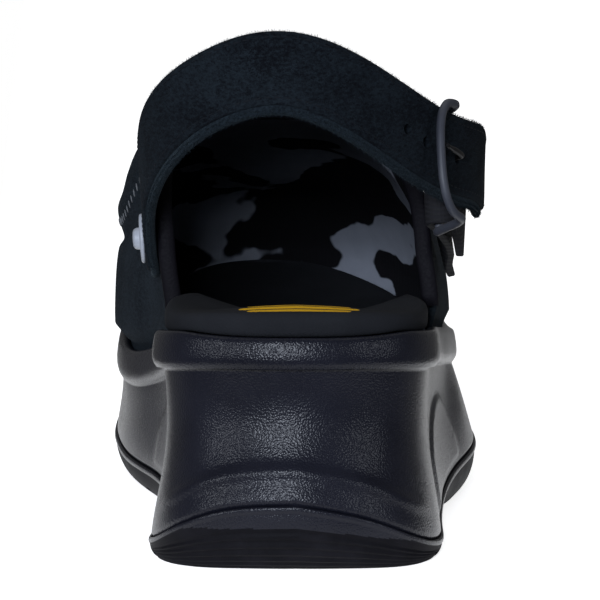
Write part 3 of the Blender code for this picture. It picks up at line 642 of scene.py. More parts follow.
settle(footbed, "insole")

# %% [markdown]
# ## The suede upper
# The vamp is suede pulled over a last. Between the sole and a ridge line on top each side swells like a
# rounded square, and an apron seam runs round it: a groove with a raised roll above it. A point on it is found
# from its place from collar to toe and from its angle up the wall, so the same rule gives the suede, the
# lining inside it and the line of every seam. Soft creases across the flex are listed as troughs.

# %% Measures of the upper
WALL = 2.6               # suede and lining together
SUEDE = 1.9
COLLAR_MEDIAL = 78.0     # where the collar meets the sole
COLLAR_LATERAL = 84.0
SPINE_NAMES = "y x z square_medial square_lateral swell_medial swell_lateral"
SPINE_ROWS = [
    (115, -9.5, 113.2, 3.8, 2.4, 3.4, 1.2),
    (135, -10.5, 109.8, 6.0, 2.4, 3.8, 1.4),
    (155, -11.0, 104.6, 6.8, 2.6, 3.9, 1.8),
    (175, -11.2, 98.6, 6.0, 2.8, 3.7, 2.2),
    (200, -11.2, 89.6, 4.2, 2.8, 3.2, 2.6),
    (220, -11.0, 82.8, 2.9, 2.7, 2.8, 2.6),
    (235, -10.5, 79.6, 2.5, 2.5, 2.4, 2.4),
]
SPINE = columns_of(SPINE_NAMES, SPINE_ROWS, [row[0] for row in SPINE_ROWS])
SWELL = spline((0, 9, 16, 23, 28, 33, 38, 48, 56, 65, 74, 82, 90),      # over degrees up the wall
               (1.35, 1.35, 1.32, 1.2, 1.02, 1.06, 1.1, 1.0, 0.78, 0.45, 0.24, 0.08, 0.0))
CREASES = ((0.34, 0.10, 0.022, 0.7), (0.43, 0.05, 0.020, 0.9), (0.53, -0.03, 0.024, 0.6))
SEAM_TALL = 1.3
SEAM_CLIMB = 18.0        # how far the seam climbs towards the collar, degrees of wall
LEAN_MEDIAL = (61.0, 0.19)               # the collar leans outward: from this height, by this much a millimetre
LEAN_LATERAL = (74.0, 0.25)
LEAN_ENDS = 0.14         # where the lean has gone, as a share of the vamp


def seam_rise(degrees):
    """The apron seam up the wall: a groove, then a roll."""
    return SEAM_TALL * (bell(degrees, 33.2, 2.6) - 1.05 * bell(degrees, 28.0, 1.7))


def creases(g, degrees):
    """Depth of the troughs; each has a place along the vamp, a tilt, a width and a depth."""
    total = 0.0
    for place, tilt, width, deep in CREASES:
        total = total + deep * bell(g, place + tilt * (degrees / 90.0 - 0.5), width)
    return total * smoothstep(34.0, 60.0, degrees)


def upper_point(g, side, degrees, inset=0.0, fancy=True):
    """Points of the upper, inset from its outer face."""
    g, row_angle = np.broadcast_arrays(np.asarray(g, float), np.asarray(degrees, float))
    climb = SEAM_CLIMB * fade(0.0, 0.34, g)
    degrees = row_angle + climb * np.interp(row_angle, (9.0, 30.0, 90.0), (0.0, 1.0, 0.0))
    start = u_of(COLLAR_LATERAL if side > 0 else COLLAR_MEDIAL)
    u = start + (1.0 - start) * g
    foot = np.concatenate([edge(u, side, np.full(u.shape, -RIM_WALL - RIM_SLACK - GAP - inset)),
                           (sided("rim", u, side) - recess(u) + GAP)[..., None]], -1)
    begin = float(y_of(start))
    spine_y = SPINE_ROWS[0][0] + (SPINE_ROWS[-1][0] - SPINE_ROWS[0][0]) * (y_of(u) - begin) / (LENGTH - begin)
    ridge = np.stack([SPINE["x"](spine_y), spine_y, SPINE["z"](spine_y) - inset], -1)
    suffix = "_lateral" if side > 0 else "_medial"
    power = SPINE["square" + suffix](spine_y)
    swell = SPINE["swell" + suffix](spine_y) * SWELL(degrees)
    out = np.maximum(np.cos(np.radians(degrees)), 0.0)
    up = np.sin(np.radians(degrees))
    radius = (out ** power + up ** power) ** (-1.0 / power)
    span = (ridge - foot) * np.array([1.0, 1.0, 0.0])
    share = 1.0 - out * radius
    point = foot + span * share[..., None]
    point[..., 1] += span[..., 1] * (np.sin(0.5 * math.pi * share) - share) * (1.0 - g) ** 2
    point[..., 2] = foot[..., 2] + (ridge[..., 2] - foot[..., 2]) * up * radius
    lean_from, lean = LEAN_LATERAL if side > 0 else LEAN_MEDIAL
    lean = lean * np.maximum(point[..., 2] - lean_from, 0.0) * np.sqrt(out * radius)
    point[..., 0] += side * lean * fade(0.0, LEAN_ENDS, g)
    away = -span / np.linalg.norm(span, axis=-1, keepdims=True) * out[..., None]
    away[..., 2] += up
    free = smoothstep(RECESS + GAP, RECESS + 5.0, point[..., 2] - foot[..., 2])
    lift = swell * free
    if fancy:
        lift = lift + seam_rise(row_angle) * smoothstep(0.0, 0.12, g) - creases(g, degrees)
    return point + away * lift[..., None]


def vamp_grid(columns, angles, inset, fancy):
    """Rows of points from the medial collar round the toe to the lateral collar."""
    g = np.linspace(0.0, 1.0, columns + 1)
    medial = upper_point(g[:, None], -1, angles[None, :], inset, fancy)
    lateral = upper_point(g[::-1][1:, None], 1, angles[None, :], inset, fancy)
    return np.concatenate([medial, lateral])


def shell(outer, inner):
    """Close two grids of the vamp, whose last rows meet along the ridge, into one wall."""
    columns, rows = outer.shape[:2]
    second = columns * rows
    points = np.concatenate([outer.reshape(-1, 3), inner.reshape(-1, 3)])
    faces = quads(columns, rows) + quads(columns, rows, start=second)
    feet = [(c * rows, (c + 1) * rows) for c in range(columns - 1)]
    ends = [(c * rows + r, c * rows + r + 1) for c in (0, columns - 1) for r in range(rows - 1)]
    faces += [[a, b, second + b, second + a] for a, b in feet + ends]
    return points, faces


def weld(made):
    """Join the points that meet along the ridge."""
    with editing(made.data) as work:
        bmesh.ops.remove_doubles(work, verts=work.verts, dist=0.02 * MM)
        bmesh.ops.recalc_face_normals(work, faces=work.faces)


# %% [markdown]
# Suede is leather with its fibres brushed up. It has almost no gloss but a soft sheen at the edges, patches
# where the nap lies the other way, and a fine fibre grain. Three scales of noise do it: patches of a few
# millimetres in the colour, streaks across them, and fibres in the bump.

# %% Finish and build the suede
def suede_finish(name, dark, light):
    made = Finish(name, Specular_IOR_Level=0.04, Sheen_Weight=0.01, Sheen_Roughness=0.4,
                  Sheen_Tint=colour(0.40, 0.52, 0.65))
    patch = made.noise(70.0, 4.0, 0.6)
    streak = made.noise(850.0, 3.0, 0.65, made.stretch((1.0, 0.45, 1.6), (0.3, 0.2, 0.5)))
    fibre = made.noise(2600.0, 2.0, 0.7)
    nap = 0.3 * patch + 0.45 * streak + 0.35 * fibre
    made.tones(made.step(nap, 0.42, 0.68), dark, light)
    made.feed("Roughness", 0.88 + 0.12 * streak)
    made.bump(fibre + 0.8 * streak, 0.00035, 0.7)
    return made.material


wall_angles = np.concatenate([np.linspace(0.0, 22.0, 12), np.linspace(23.0, 40.0, 35),
                              np.linspace(42.0, 90.0, 29)])      # closest at the seam
upper = piece("vamp", *shell(vamp_grid(110, wall_angles, 0.0, True), vamp_grid(110, wall_angles, SUEDE, False)),
              suede_finish("vamp_suede", (0.0040, 0.0054, 0.0072), (0.0135, 0.0180, 0.0225)))
weld(upper)
settle(upper, "upper")

# %% [markdown]
# ## The lining
# Inside, a pale knit is glued to the suede, printed with soft black blotches. Two noises, added and cut at a
# level, make the print: one gives the large pools, the other frays their borders. The knit is a thin second wall
# just inside the suede, and its fine loops are a bump.

# %% Build and finish the lining
PRINT_FROM = (-0.047, -0.045)            # where the print begins along the frame, in metres
knit = Finish("printed_knit", Specular_IOR_Level=0.05)
pools = knit.noise(30.0, 1.5, 0.4, knit.stretch((1.0, 0.5, 1.6), (0.0, 0.4, 0.6), (0.031, 0.012, 0.0)))
flecks = knit.noise(85.0, 2.0, 0.5)
depth_in = knit.node("ShaderNodeSeparateXYZ", {}, {0: knit.place}).other("Y")
ink = knit.step(pools + 0.15 * flecks, 0.615, 0.630) * knit.step(depth_in, *PRINT_FROM)
loops = knit.node("ShaderNodeTexWave", {"wave_type": "BANDS"},
                  {"Vector": knit.place, "Scale": 700.0, "Distortion": 1.5, "Detail": 1.0})
paper = knit.mix(knit.noise(140.0, 3.0), colour(0.145, 0.157, 0.185), colour(0.20, 0.215, 0.247))
knit.feed("Base Color", knit.mix(ink, paper, colour(0.005, 0.005, 0.006)))
knit.feed("Roughness", 0.85 + 0.1 * loops)
knit.bump(loops + 0.5 * knit.noise(2500.0, 2.0), 0.0001, 0.4)
lining_angles = np.linspace(0.0, 90.0, 46)
lining = piece("lining", *shell(vamp_grid(80, lining_angles, SUEDE + 0.15, False),
                                vamp_grid(80, lining_angles, WALL, False)), knit.material)
weld(lining)
settle(lining)

# %% [markdown]
# ## The collar
# A rolled band closes the edge where suede and lining end. It is one outline swept along the collar, from the
# medial foot over the ridge to the lateral foot, a little flattened as a folded strip is.

# %% Build and finish the collar
BEAD = (2.35, 1.75)      # half the rolled band's width and depth


def collar_path(inset=0.0, ahead=0.0):
    angles = np.concatenate([np.arange(9.0, 90.0, 1.5), [90.0]])
    medial = upper_point(ahead, -1, angles, inset, False)
    lateral = upper_point(ahead, 1, angles[::-1], inset, False)
    return np.concatenate([medial, lateral[1:]])


def unit(v):
    return v / np.linalg.norm(v, axis=-1, keepdims=True)


def aligned(vectors, toward):
    """Vectors turned round where they point against the others."""
    return vectors * np.sign(np.sum(vectors * toward, -1, keepdims=True))


def blunt(value, power):
    """A sine or cosine raised to a power, for outlines between round and square."""
    return math.copysign(abs(value) ** power, value)


def collar_frame():
    """Middle line of the collar with its directions across the wall and back out of it."""
    outer = collar_path()
    lining_edge = collar_path(WALL)
    middle = 0.5 * (outer + lining_edge)
    along = unit(np.gradient(middle, axis=0))
    across = lining_edge - outer
    across = unit(across - along * np.sum(along * across, -1, keepdims=True))
    return middle, across, aligned(np.cross(along, across), outer - collar_path(0.0, 1.0 / 22.0))


binding = Finish("rolled_binding", Specular_IOR_Level=0.05)
pores = binding.cells(1500.0)
binding.tones(binding.noise(60.0, 3.0), (0.0026, 0.0024, 0.0036), (0.0046, 0.0042, 0.0060))
binding.feed("Roughness", 0.52 + 0.2 * pores)
binding.bump(pores, 0.0002, 0.4)
middle, across, back = collar_frame()
bands = []
for t in np.linspace(0.0, 2.0 * math.pi, 21)[:-1]:
    a, b = BEAD[0] * blunt(math.cos(t), 0.7), BEAD[1] + BEAD[1] * blunt(math.sin(t), 0.8)
    bands.append(middle + back * GAP + across * a + back * b)
collar = piece("collar_band", *tube(np.stack(bands, 1)), binding.material)
settle(collar, "collar_binding")

# %% [markdown]
# ## The heel strap
# The strap is two layers of suede. Its middle line runs from the rivet round the heel to the buckle, and its
# width leans and rolls along the way. The outer layer stops a little short of the lower edge, so the paler
# raw edge of the backing shows below it. Sections swept along the line make both, and the holes are cut out.

# %% Measures of the strap
STRAP_WIDE = 22.6
STRAP_THICK = 3.4
SEAT = 0.9               # between its riveted end and the upper
RIVET_ROW = 1.0
BUCKLE_ROW = 9.35
HOLE_PITCH = 8.7
HOLE_AHEAD = 3.0         # the prong's hole, ahead of the buckle's middle
HOLES = range(-3, 1)     # places of the holes, counted from that one
STRAP_NAMES = "x y z lean roll"
STRAP_ROWS = [
    (-40.6, 96, 72.2, 38, 3),
    (-39.6, 88, 79.0, 38, 4),
    (-40.8, 70, 92.8, 36, -4),
    (-38.8, 48, 106.8, 32, -9),
    (-31.6, 28, 118.4, 28, -9),
    (-19.6, 17, 126.9, 26, -2),
    (-4.0, 14.5, 130.4, 25, 0),
    (12.0, 18, 125.2, 22, 3),
    (26.0, 28, 115.6, 20, 8),
    (37.0, 42, 107.4, 20, 11),
    (44.6, 57, 103.0, 15, 9),
    (48.9, 73, 99.6, 12, 5),
    (50.4, 98, 93.5, 12, 0),
]
STRAP_T = list(range(len(STRAP_ROWS)))


def upper_at(side, y, z):
    """The point of the upper's outer face at a given y and height, closed in on step by step."""
    g = 0.1
    angle = 30.0
    for _ in range(60):
        p = upper_point(g, side, angle)
        g = min(max(g + 0.6 * (y - p[1]) / 170.0, 0.0), 1.0)
        angle = min(max(angle + 0.6 * (z - p[2]), 0.0), 90.0)
    return upper_point(g, side, angle)


def seated_rows():
    """The strap's rows with its riveted end laid against the upper's medial side."""
    rows = [list(row) for row in STRAP_ROWS]
    for row in rows[:int(RIVET_ROW) + 1]:
        lean = math.radians(row[3])
        reach = [share * STRAP_WIDE for share in (-0.5, -0.25, 0.0, 0.25, 0.5)]
        spots = [upper_at(-1, row[1] + r * math.sin(lean), row[2] + r * math.cos(lean)) for r in reach]
        tip = spots[-1][0] - spots[0][0]
        row[4] = math.degrees(math.atan2(tip, STRAP_WIDE))
        row[0] = min(p[0] - (k - 2) * 0.25 * tip for k, p in enumerate(spots)) - 0.5 * STRAP_THICK - SEAT
    return rows


STRAP = columns_of(STRAP_NAMES, seated_rows(), STRAP_T)


def strap_frame(t):
    """Middle of the strap at row t, with its directions along, across (up) and out."""
    def spot(s):
        return np.array([STRAP["x"](s), STRAP["y"](s), STRAP["z"](s)])

    run = unit(spot(t + 0.01) - spot(t - 0.01))
    lean = math.radians(float(STRAP["lean"](t)))
    roll = math.radians(float(STRAP["roll"](t)))
    up = np.array([math.sin(roll), math.sin(lean) * math.cos(roll), math.cos(lean) * math.cos(roll)])
    up = unit(up - run * up.dot(run))
    return spot(t), run, up, np.cross(run, up)


FINE = np.linspace(0.0, STRAP_T[-1], 600)
RUN = np.array([strap_frame(t)[0] for t in FINE])
RUN = np.concatenate([[0.0], np.cumsum(np.linalg.norm(np.diff(RUN, axis=0), axis=1))])


def strap_row(place):
    """The row number at a length along the strap."""
    return float(np.interp(place, RUN, FINE))


def along_strap(trim, count):
    """The strap's middle and directions at even places, short of both ends by the trim."""
    return [strap_frame(strap_row(place)) for place in np.linspace(trim, RUN[-1] - trim, count)]


print("strap length:", round(RUN[-1], 1), "mm")

# %% Build the strap
HALF = 0.5 * STRAP_WIDE
LEDGE = 1.9              # how far the face layer stops short of the lower edge
RAW_STRIPS = 5           # the outline's strips of raw edge, after the one that closes it


def strap_outline(wide):
    """The strap's outline: up its width and out of it, from the raw lower edge round the face to the back."""
    soft = min(1.0, wide / 4.0)
    ledge = LEDGE * soft
    deep = 0.5 * STRAP_THICK
    face = np.linspace(-wide + ledge + 0.9 * soft, wide - 1.2 * soft, 15)
    crown = deep + 0.12 * (1.0 - (face / max(wide, 0.1)) ** 2)
    low = [(-wide - 0.1, -0.9), (-wide - 0.3, -0.3), (-wide - 0.1, 0.4), (-wide + 0.35 * ledge, 0.78),
           (-wide + 0.8 * ledge, 0.86), (-wide + ledge, 0.95), (-wide + ledge + 0.1 * soft, 1.3),
           (-wide + ledge + 0.4 * soft, 1.62)]
    high = [(wide - 0.6 * soft, 1.55), (wide - 0.15 * soft, 1.2), (wide, 0.6), (wide, -0.6), (wide - 0.15, -1.2),
            (wide - 0.7 * soft, -1.62)]
    rear = [(a, -deep) for a in np.linspace(wide - 1.4 * soft, -wide + 1.2 * soft, 8)]
    return low + list(zip(face, crown)) + high + rear + [(-wide + 0.5 * soft, -1.5)]


ends = HALF * (1.0 - np.cos(np.radians(np.linspace(5.0, 90.0, 20))))
places = np.concatenate([ends, np.linspace(HALF, RUN[-1] - HALF, 230)[1:-1], RUN[-1] - ends[::-1]])
sections = []
for place in places:
    spot, _, up, out = strap_frame(strap_row(place))
    reach = min(place, RUN[-1] - place, HALF)
    wide = math.sqrt(max(HALF ** 2 - (HALF - reach) ** 2, 0.01))
    sections.append([spot + up * a + out * b for a, b in strap_outline(wide)])
strap_points, strap_faces = tube(sections)
raw = [len(f) == 4 and (f[0] + 1) % len(sections[0]) <= RAW_STRIPS for f in strap_faces]

# %% Finish the strap
strap_suede = suede_finish("strap_suede", (0.0024, 0.0029, 0.0042), (0.0096, 0.0136, 0.0176))
fray = Finish("raw_edge", Roughness=1.0, Specular_IOR_Level=0.1, Sheen_Weight=0.05, Sheen_Roughness=0.5,
              Sheen_Tint=colour(0.5, 0.7, 0.8))
strands = fray.noise(1500.0, 4.0, 0.7)
fray.tones(fray.step(strands, 0.3, 0.7), (0.0027, 0.0043, 0.0063), (0.0108, 0.0165, 0.0220))
fray.bump(strands, 0.0006, 0.8)
strap = piece("strap", strap_points, strap_faces, strap_suede, fray.material, pick=raw)


def circled(first, second, sides):
    """A circle of points from two directions, or one circle for each pair of many."""
    turn = np.linspace(0.0, 2.0 * math.pi, sides + 1)[:-1, None]
    return first[..., None, :] * np.cos(turn) + second[..., None, :] * np.sin(turn)


def turned(profile, origin, axis, sides=20):
    """A profile of reach and radius, turned about an axis."""
    first = unit(np.cross(axis, [0.3, 0.5, 0.8]))
    circle = circled(first, np.cross(axis, first), sides)
    return tube([origin + axis * reach + circle * radius for reach, radius in profile])


buckle_place = float(np.interp(BUCKLE_ROW, FINE, RUN))
for k in HOLES:
    spot, _, _, out = strap_frame(strap_row(buckle_place + HOLE_AHEAD + HOLE_PITCH * k))
    cut(strap, *turned([(-4.0, 1.5), (4.0, 1.5)], spot, out))
rivet_spot, _, _, rivet_out = strap_frame(RIVET_ROW)
cut(strap, *turned([(-4.0, 2.3), (4.0, 2.3)], rivet_spot, rivet_out), angle=50.0)
settle(strap, "heel_strap")

# %% [markdown]
# ## The rivet
# A pale moulded rivet holds the strap on the medial side: a flat washer with a rounded head. It is a profile
# turned about the strap's outward direction, with enough steps to round its edges.

# %% Build and finish the rivet
RIVET_PROFILE = ((0.0, 2.0), (0.0, 6.5), (0.15, 6.75), (0.4, 6.85), (0.8, 6.75), (1.05, 6.5), (1.2, 6.0),
                 (1.15, 3.6), (1.25, 3.2), (1.5, 3.05), (2.1, 3.0), (2.55, 2.8), (2.9, 2.5), (3.15, 1.9),
                 (3.25, 1.0), (3.27, 0.3))      # out from the washer's underside, and radius
plastic = worn("pale_plastic", 300.0, 4.0, 0.34, (0.22, 0.235, 0.265), (0.32, 0.34, 0.38),
               Specular_IOR_Level=0.5)
washer = 0.5 * STRAP_THICK + 1.5 * GAP
shank = -(0.5 * STRAP_THICK + SEAT + 0.8 * WALL)
profile = [(shank, 2.0)] + [(washer + reach, radius) for reach, radius in RIVET_PROFILE]
rivet = piece("rivet_cap", *turned(profile, rivet_spot, rivet_out, 40), plastic.material)
settle(rivet, "rivet")

# %% [markdown]
# ## The buckle
# On the lateral side a moulded frame stands round the strap: a bowed bar over its face and a straight bar under
# it, inside a folded tab. The frame is a round bar swept along a closed path in the buckle's own directions; the
# prong hooks on the straight bar, comes up through a hole and rests on the bow.

# %% The buckle's directions
BAR = 1.3                # radius of the frame's bar
BOW_BAR = 0.9            # the drawn bar, as a share of that
BOW_TRIM = 0.6           # what it leaves free at each end
BUCKLE_TALL = 35.0
BUCKLE_DEEP = 15.0
BUCKLE_DROP = 2.8
BUCKLE_ROLL = math.radians(12.0)
PIN_ROWS = 50
TAB_THICK = 2.2
TAB_WIDE = 20.0
TAB_DROP = 5.4
PIVOT = (13.0, -0.5 * STRAP_THICK - 13 * GAP - TAB_THICK - BAR)    # the straight bar, along the strap and out
REST = (-BUCKLE_DEEP, 0.5 * STRAP_THICK + GAP + BAR + 2.0)         # the bow's middle
B_SPOT, B_ALONG, strap_up, strap_out = strap_frame(BUCKLE_ROW)
B_UP = strap_up * math.cos(BUCKLE_ROLL) - strap_out * math.sin(BUCKLE_ROLL)
B_OUT = strap_out * math.cos(BUCKLE_ROLL) + strap_up * math.sin(BUCKLE_ROLL)


def bar_round(centres, radius, hint, closed):
    """A round bar along a line of points."""
    ahead = np.roll(centres, -1, 0) - np.roll(centres, 1, 0) if closed else np.gradient(centres, axis=0)
    ahead = unit(ahead)
    side = unit(np.cross(ahead, hint))
    radius = np.broadcast_to(radius, len(centres))[:, None, None]
    return tube(centres[:, None] + radius * circled(side, np.cross(side, ahead), 14), closed)


def smooth_path(points, count, closed=False):
    """A finer line through a few points."""
    points = np.array(points, float)
    if closed:
        wrapped = np.concatenate([points[-4:], points, points[:5]])
        t = np.arange(len(wrapped)) - 4.0
        fine = np.linspace(0.0, len(points), count + 1)[:-1]
    else:
        wrapped = points
        t = np.arange(len(points), dtype=float)
        fine = np.linspace(0.0, len(points) - 1.0, count)
    return np.stack([spline(t, wrapped[:, k])(fine) for k in range(points.shape[1])], -1)


# %% Build and finish the buckle
half = 0.5 * BUCKLE_TALL - BAR - BOW_TRIM
corner = [(PIVOT[0] - 2.4, half - 0.8), (PIVOT[0] - 0.4, half - 2.8)]
loop = [(REST[0] * max(math.cos(t), 0.0) ** 0.5, half * blunt(math.sin(t), 0.8))
        for t in np.radians(np.arange(-90, 91, 15))]
loop += corner + [(PIVOT[0], w) for w in np.linspace(half - 5.0, 5.0 - half, 5)]
loop += [(a, -w) for a, w in corner[::-1]]
loop = smooth_path(loop, 120, closed=True)
lift = REST[1] + (PIVOT[1] - REST[1]) * smoothstep(-5.0, PIVOT[0] - 1.0, loop[:, 0])
bow = B_SPOT + B_ALONG * loop[:, :1] + B_UP * (loop[:, 1:] - BUCKLE_DROP) + B_OUT * lift[:, None]
satin = worn("satin_buckle", 260.0, 4.0, 0.42, (0.022, 0.024, 0.032), (0.034, 0.037, 0.048),
             Specular_IOR_Level=0.35)
satin.bump(satin.noise(1800.0, 2.0), 0.0001, 0.3)
buckle = piece("buckle_bow", *bar_round(bow, BOW_BAR * BAR, B_OUT, True), satin.material)
settle(buckle, "buckle_frame")

hook = BAR + GAP + 0.8
pin = [(PIVOT[0] + hook * math.cos(t), PIVOT[1] + hook * math.sin(t)) for t in np.radians((310, 270, 235, 200))]
pin += [(HOLE_AHEAD + 0.7, -2.6), (HOLE_AHEAD, 0.0), (HOLE_AHEAD - 0.5, 2.6), (HOLE_AHEAD - 3.6, 4.2),
        (REST[0] + hook, REST[1] + 0.4)]
pin = smooth_path(pin, PIN_ROWS)
taper = np.where(np.arange(PIN_ROWS) > PIN_ROWS - 4, 0.55, 0.8)
steel = worn("dark_steel", 500.0, 3.0, 0.45, (0.012, 0.012, 0.013), (0.024, 0.024, 0.026), Metallic=1.0)
prong = piece("buckle_pin", *bar_round(B_SPOT + B_ALONG * pin[:, :1] + B_OUT * pin[:, 1:], taper, B_UP, False),
              steel.material)
settle(prong, "buckle_prong")

# %% [markdown]
# The tab that holds the buckle is a folded strip of black webbing. It lies on the upper, turns round the straight
# bar and comes back under the strap's tail. Its path is known at a few places, each with the direction of its
# width; sections set there and joined give the fold.

# %% Build and finish the tab
FLAT, DEEP, CORNER = 0.5 * TAB_WIDE, 0.5 * TAB_THICK, 0.4
TAB_OUTLINE = [(-FLAT, -DEEP + CORNER), (-FLAT + CORNER, -DEEP), (FLAT - CORNER, -DEEP), (FLAT, -DEEP + CORNER),
               (FLAT, DEEP - CORNER), (FLAT - CORNER, DEEP), (-FLAT + CORNER, DEEP), (-FLAT, DEEP - CORNER)]
SLOT = ((-1.4, -6.0), (1.4, -6.0), (1.4, 6.0), (-1.4, 6.0))      # the opening for the prong, up and out
bend = BAR + GAP + 0.5 * TAB_THICK
pivot = B_SPOT + B_ALONG * PIVOT[0] - B_UP * TAB_DROP + B_OUT * PIVOT[1]
tab_path = []
for reach in (40.0, 33.0, 26.0, 19.0):
    spot, run, up, out = strap_frame(strap_row(buckle_place + reach))
    inside = out * (0.5 * STRAP_THICK + GAP + 0.5 * TAB_THICK + 0.9)
    tab_path.append((spot - up * (0.4 * reach - 2.0) - inside, up, 0.4 * up - run))
for turn in np.radians(np.arange(90, 271, 15)):
    spot = pivot + bend * (B_ALONG * math.cos(turn) + B_OUT * math.sin(turn))
    tab_path.append((spot, B_UP, B_OUT * math.cos(turn) - B_ALONG * math.sin(turn)))
fold = tab_path[-1]
seat = []
for y in (94.0, 99.0, 104.0, 109.0):
    z = 83.4 - 0.5 * (y - 92.0)
    up = upper_at(1, y + 4.0, z + 9.0) - upper_at(1, y - 4.0, z - 9.0)
    stand = GAP + 0.5 * TAB_THICK + 1.5 + 1.8 * float(fade(94.0, 104.0, y))
    seat.append((upper_at(1, y, z) + np.array([stand, 0.0, 0.0]), unit(up)))
slope = unit(seat[-1][0] - seat[0][0])
for share in (0.35, 0.7):
    spot = fold[0] * (1.0 - share) + seat[0][0] * share + np.array([1.2, 0.0, 0.0])
    tab_path.append((spot, fold[1] * (1.0 - share) + seat[0][1] * share, seat[0][0] - fold[0]))
tab_path += [(spot, up, slope) for spot, up in seat]
tab_sections = []
for spot, up, run in tab_path:
    run = unit(run)
    wide = unit(up - run * up.dot(run))
    thick = np.cross(run, wide)
    tab_sections.append([spot + wide * a + thick * b for a, b in TAB_OUTLINE])
webbing = Finish("black_webbing", Specular_IOR_Level=0.15)
ribs = webbing.node("ShaderNodeTexWave", {"wave_type": "BANDS", "bands_direction": "Z"},
                    {"Vector": webbing.place, "Scale": 240.0, "Distortion": 2.0, "Detail": 2.0})
webbing.tones(ribs, (0.0050, 0.0050, 0.0062), (0.0085, 0.0085, 0.0105))
webbing.feed("Roughness", 0.7 + 0.2 * ribs)
webbing.bump(ribs, 0.0002, 0.3)
tab = piece("buckle_tab", *tube(tab_sections), webbing.material, smooth=False)
cut(tab, *tube([[pivot + B_ALONG * reach + B_UP * (a + TAB_DROP) + B_OUT * b for a, b in SLOT]
                for reach in (-bend - 3.0, 4.0)]))
settle(tab, "buckle_anchor")

# %% [markdown]
# ## Thread
# Every stitch is the same small capsule, repeated along a line on the leather. Geometry Nodes do that well: the
# line is a chain of points that carries two directions, the way the thread lies and the way the leather faces.
# The tree turns the chain into a curve, spaces points along it and sets a capsule on each. How a tree begins and
# ends is the same for everything that stands in a row, so two functions hold it.

# %% Rows of small things
def row_tree(name, sizes, material):
    """Begin a tree that turns a chain into a curve with points at a pitch."""
    tree = bpy.data.node_groups.new(name, "GeometryNodeTree")
    sockets = [("Geometry", "INPUT", "Geometry")] + [(size, "INPUT", "Float") for size in sizes]
    sockets += [(material, "INPUT", "Material"), ("Geometry", "OUTPUT", "Geometry")]
    for label, way, kind in sockets:
        tree.interface.new_socket(label, in_out=way, socket_type="NodeSocket" + kind)
    graph = Graph(tree)
    source = graph.node("NodeGroupInput")
    line = graph.node("GeometryNodeMeshToCurve", {}, {"Mesh": source})
    line = graph.node("GeometryNodeResampleCurve", {"mode": "LENGTH"},
                      {"Curve": line, "Length": source.other("Pitch")})
    return graph, source, line


def carried(graph, name):
    """A direction that the chain's points carry."""
    return graph.node("GeometryNodeInputNamedAttribute", {"data_type": "FLOAT_VECTOR"}, {"Name": name})


def plant(graph, points, shape, turn, size, material):
    """End a tree: a shape on every point, as one mesh."""
    row = graph.node("GeometryNodeInstanceOnPoints", {},
                     {"Points": points, "Instance": shape, "Rotation": turn, "Scale": size})
    row = graph.node("GeometryNodeRealizeInstances", {}, {"Geometry": row})
    row = graph.node("GeometryNodeSetMaterial", {}, {"Geometry": row, "Material": material})
    graph.node("NodeGroupOutput", {}, {"Geometry": row})
    return graph.tree


def grow(name, tree, line, directions, inputs):
    """Run a tree on a chain of points and keep the result as a plain mesh object."""
    mesh = bpy.data.meshes.new(name)
    chain = [(i, i + 1) for i in range(len(line) - 1)]
    mesh.from_pydata(((np.asarray(line) + SHIFT) * MM).tolist(), chain, [])
    for key, vectors in directions.items():
        store = mesh.attributes.new(key, "FLOAT_VECTOR", "POINT")
        store.data.foreach_set("vector", np.asarray(vectors, np.float32).ravel())
    made = add_object(name, mesh)
    modifier = made.modifiers.new(name, "NODES")
    modifier.node_group = tree
    for socket in tree.interface.items_tree:
        if socket.in_out == "INPUT" and socket.name in inputs:
            modifier[socket.identifier] = inputs[socket.name]
    keep(made)
    settle(made)


# %% The stitching tree
def stitch_tree():
    graph, source, line = row_tree("stitch_row", ("Pitch", "Length", "Width"), "Thread")
    turn = graph.node("FunctionNodeAlignRotationToVector", {"axis": "Z"}, {"Vector": carried(graph, "face")})
    turn = graph.node("FunctionNodeAlignRotationToVector", {"axis": "X", "pivot_axis": "Z"},
                      {"Rotation": turn, "Vector": carried(graph, "lie")})
    capsule = graph.node("GeometryNodeMeshIcoSphere", {}, {"Radius": 0.5, "Subdivisions": 2})
    capsule = graph.node("GeometryNodeSetShadeSmooth", {}, {"Geometry": capsule, "Shade Smooth": True})
    wide = source.other("Width")
    size = graph.node("ShaderNodeCombineXYZ", {}, {0: source.other("Length"), 1: wide, 2: wide * 0.8})
    return plant(graph, line, capsule, turn, size, source.other("Thread"))


STITCH = stitch_tree()


def sew(name, line, lie, face_out, pitch, length, width, thread):
    sizes = {"Pitch": pitch * MM, "Length": length * MM, "Width": width * MM, "Thread": thread}
    grow(name, STITCH, line, {"lie": lie, "face": face_out}, sizes)


# %% Threads and where they run
SEAM_AT = 30.6           # the apron's thread, in degrees up the wall
SIDES = (("medial", -1), ("lateral", 1))


def thread_finish(name, dark, light):
    made = Finish(name, Roughness=0.7, Specular_IOR_Level=0.08)
    twist = made.noise(2400.0, 2.0)
    made.tones(twist, dark, light)
    made.bump(twist, 0.0001, 0.5)
    return made.material


pale_thread = thread_finish("pale_thread", (0.050, 0.054, 0.058), (0.120, 0.125, 0.130))
dark_thread = thread_finish("dark_thread", (0.0024, 0.0030, 0.0044), (0.0070, 0.0090, 0.0122))

for name, height in (("strap_stitch_high", HALF - 2.0), ("strap_stitch_low", LEDGE + 1.9 - HALF)):
    rows = along_strap(7.0, 240)
    line = [spot + up * height + out * 1.74 for spot, run, up, out in rows]
    sew(name, line, [row[1] for row in rows], [row[3] for row in rows], 2.7, 2.1, 0.42, dark_thread)

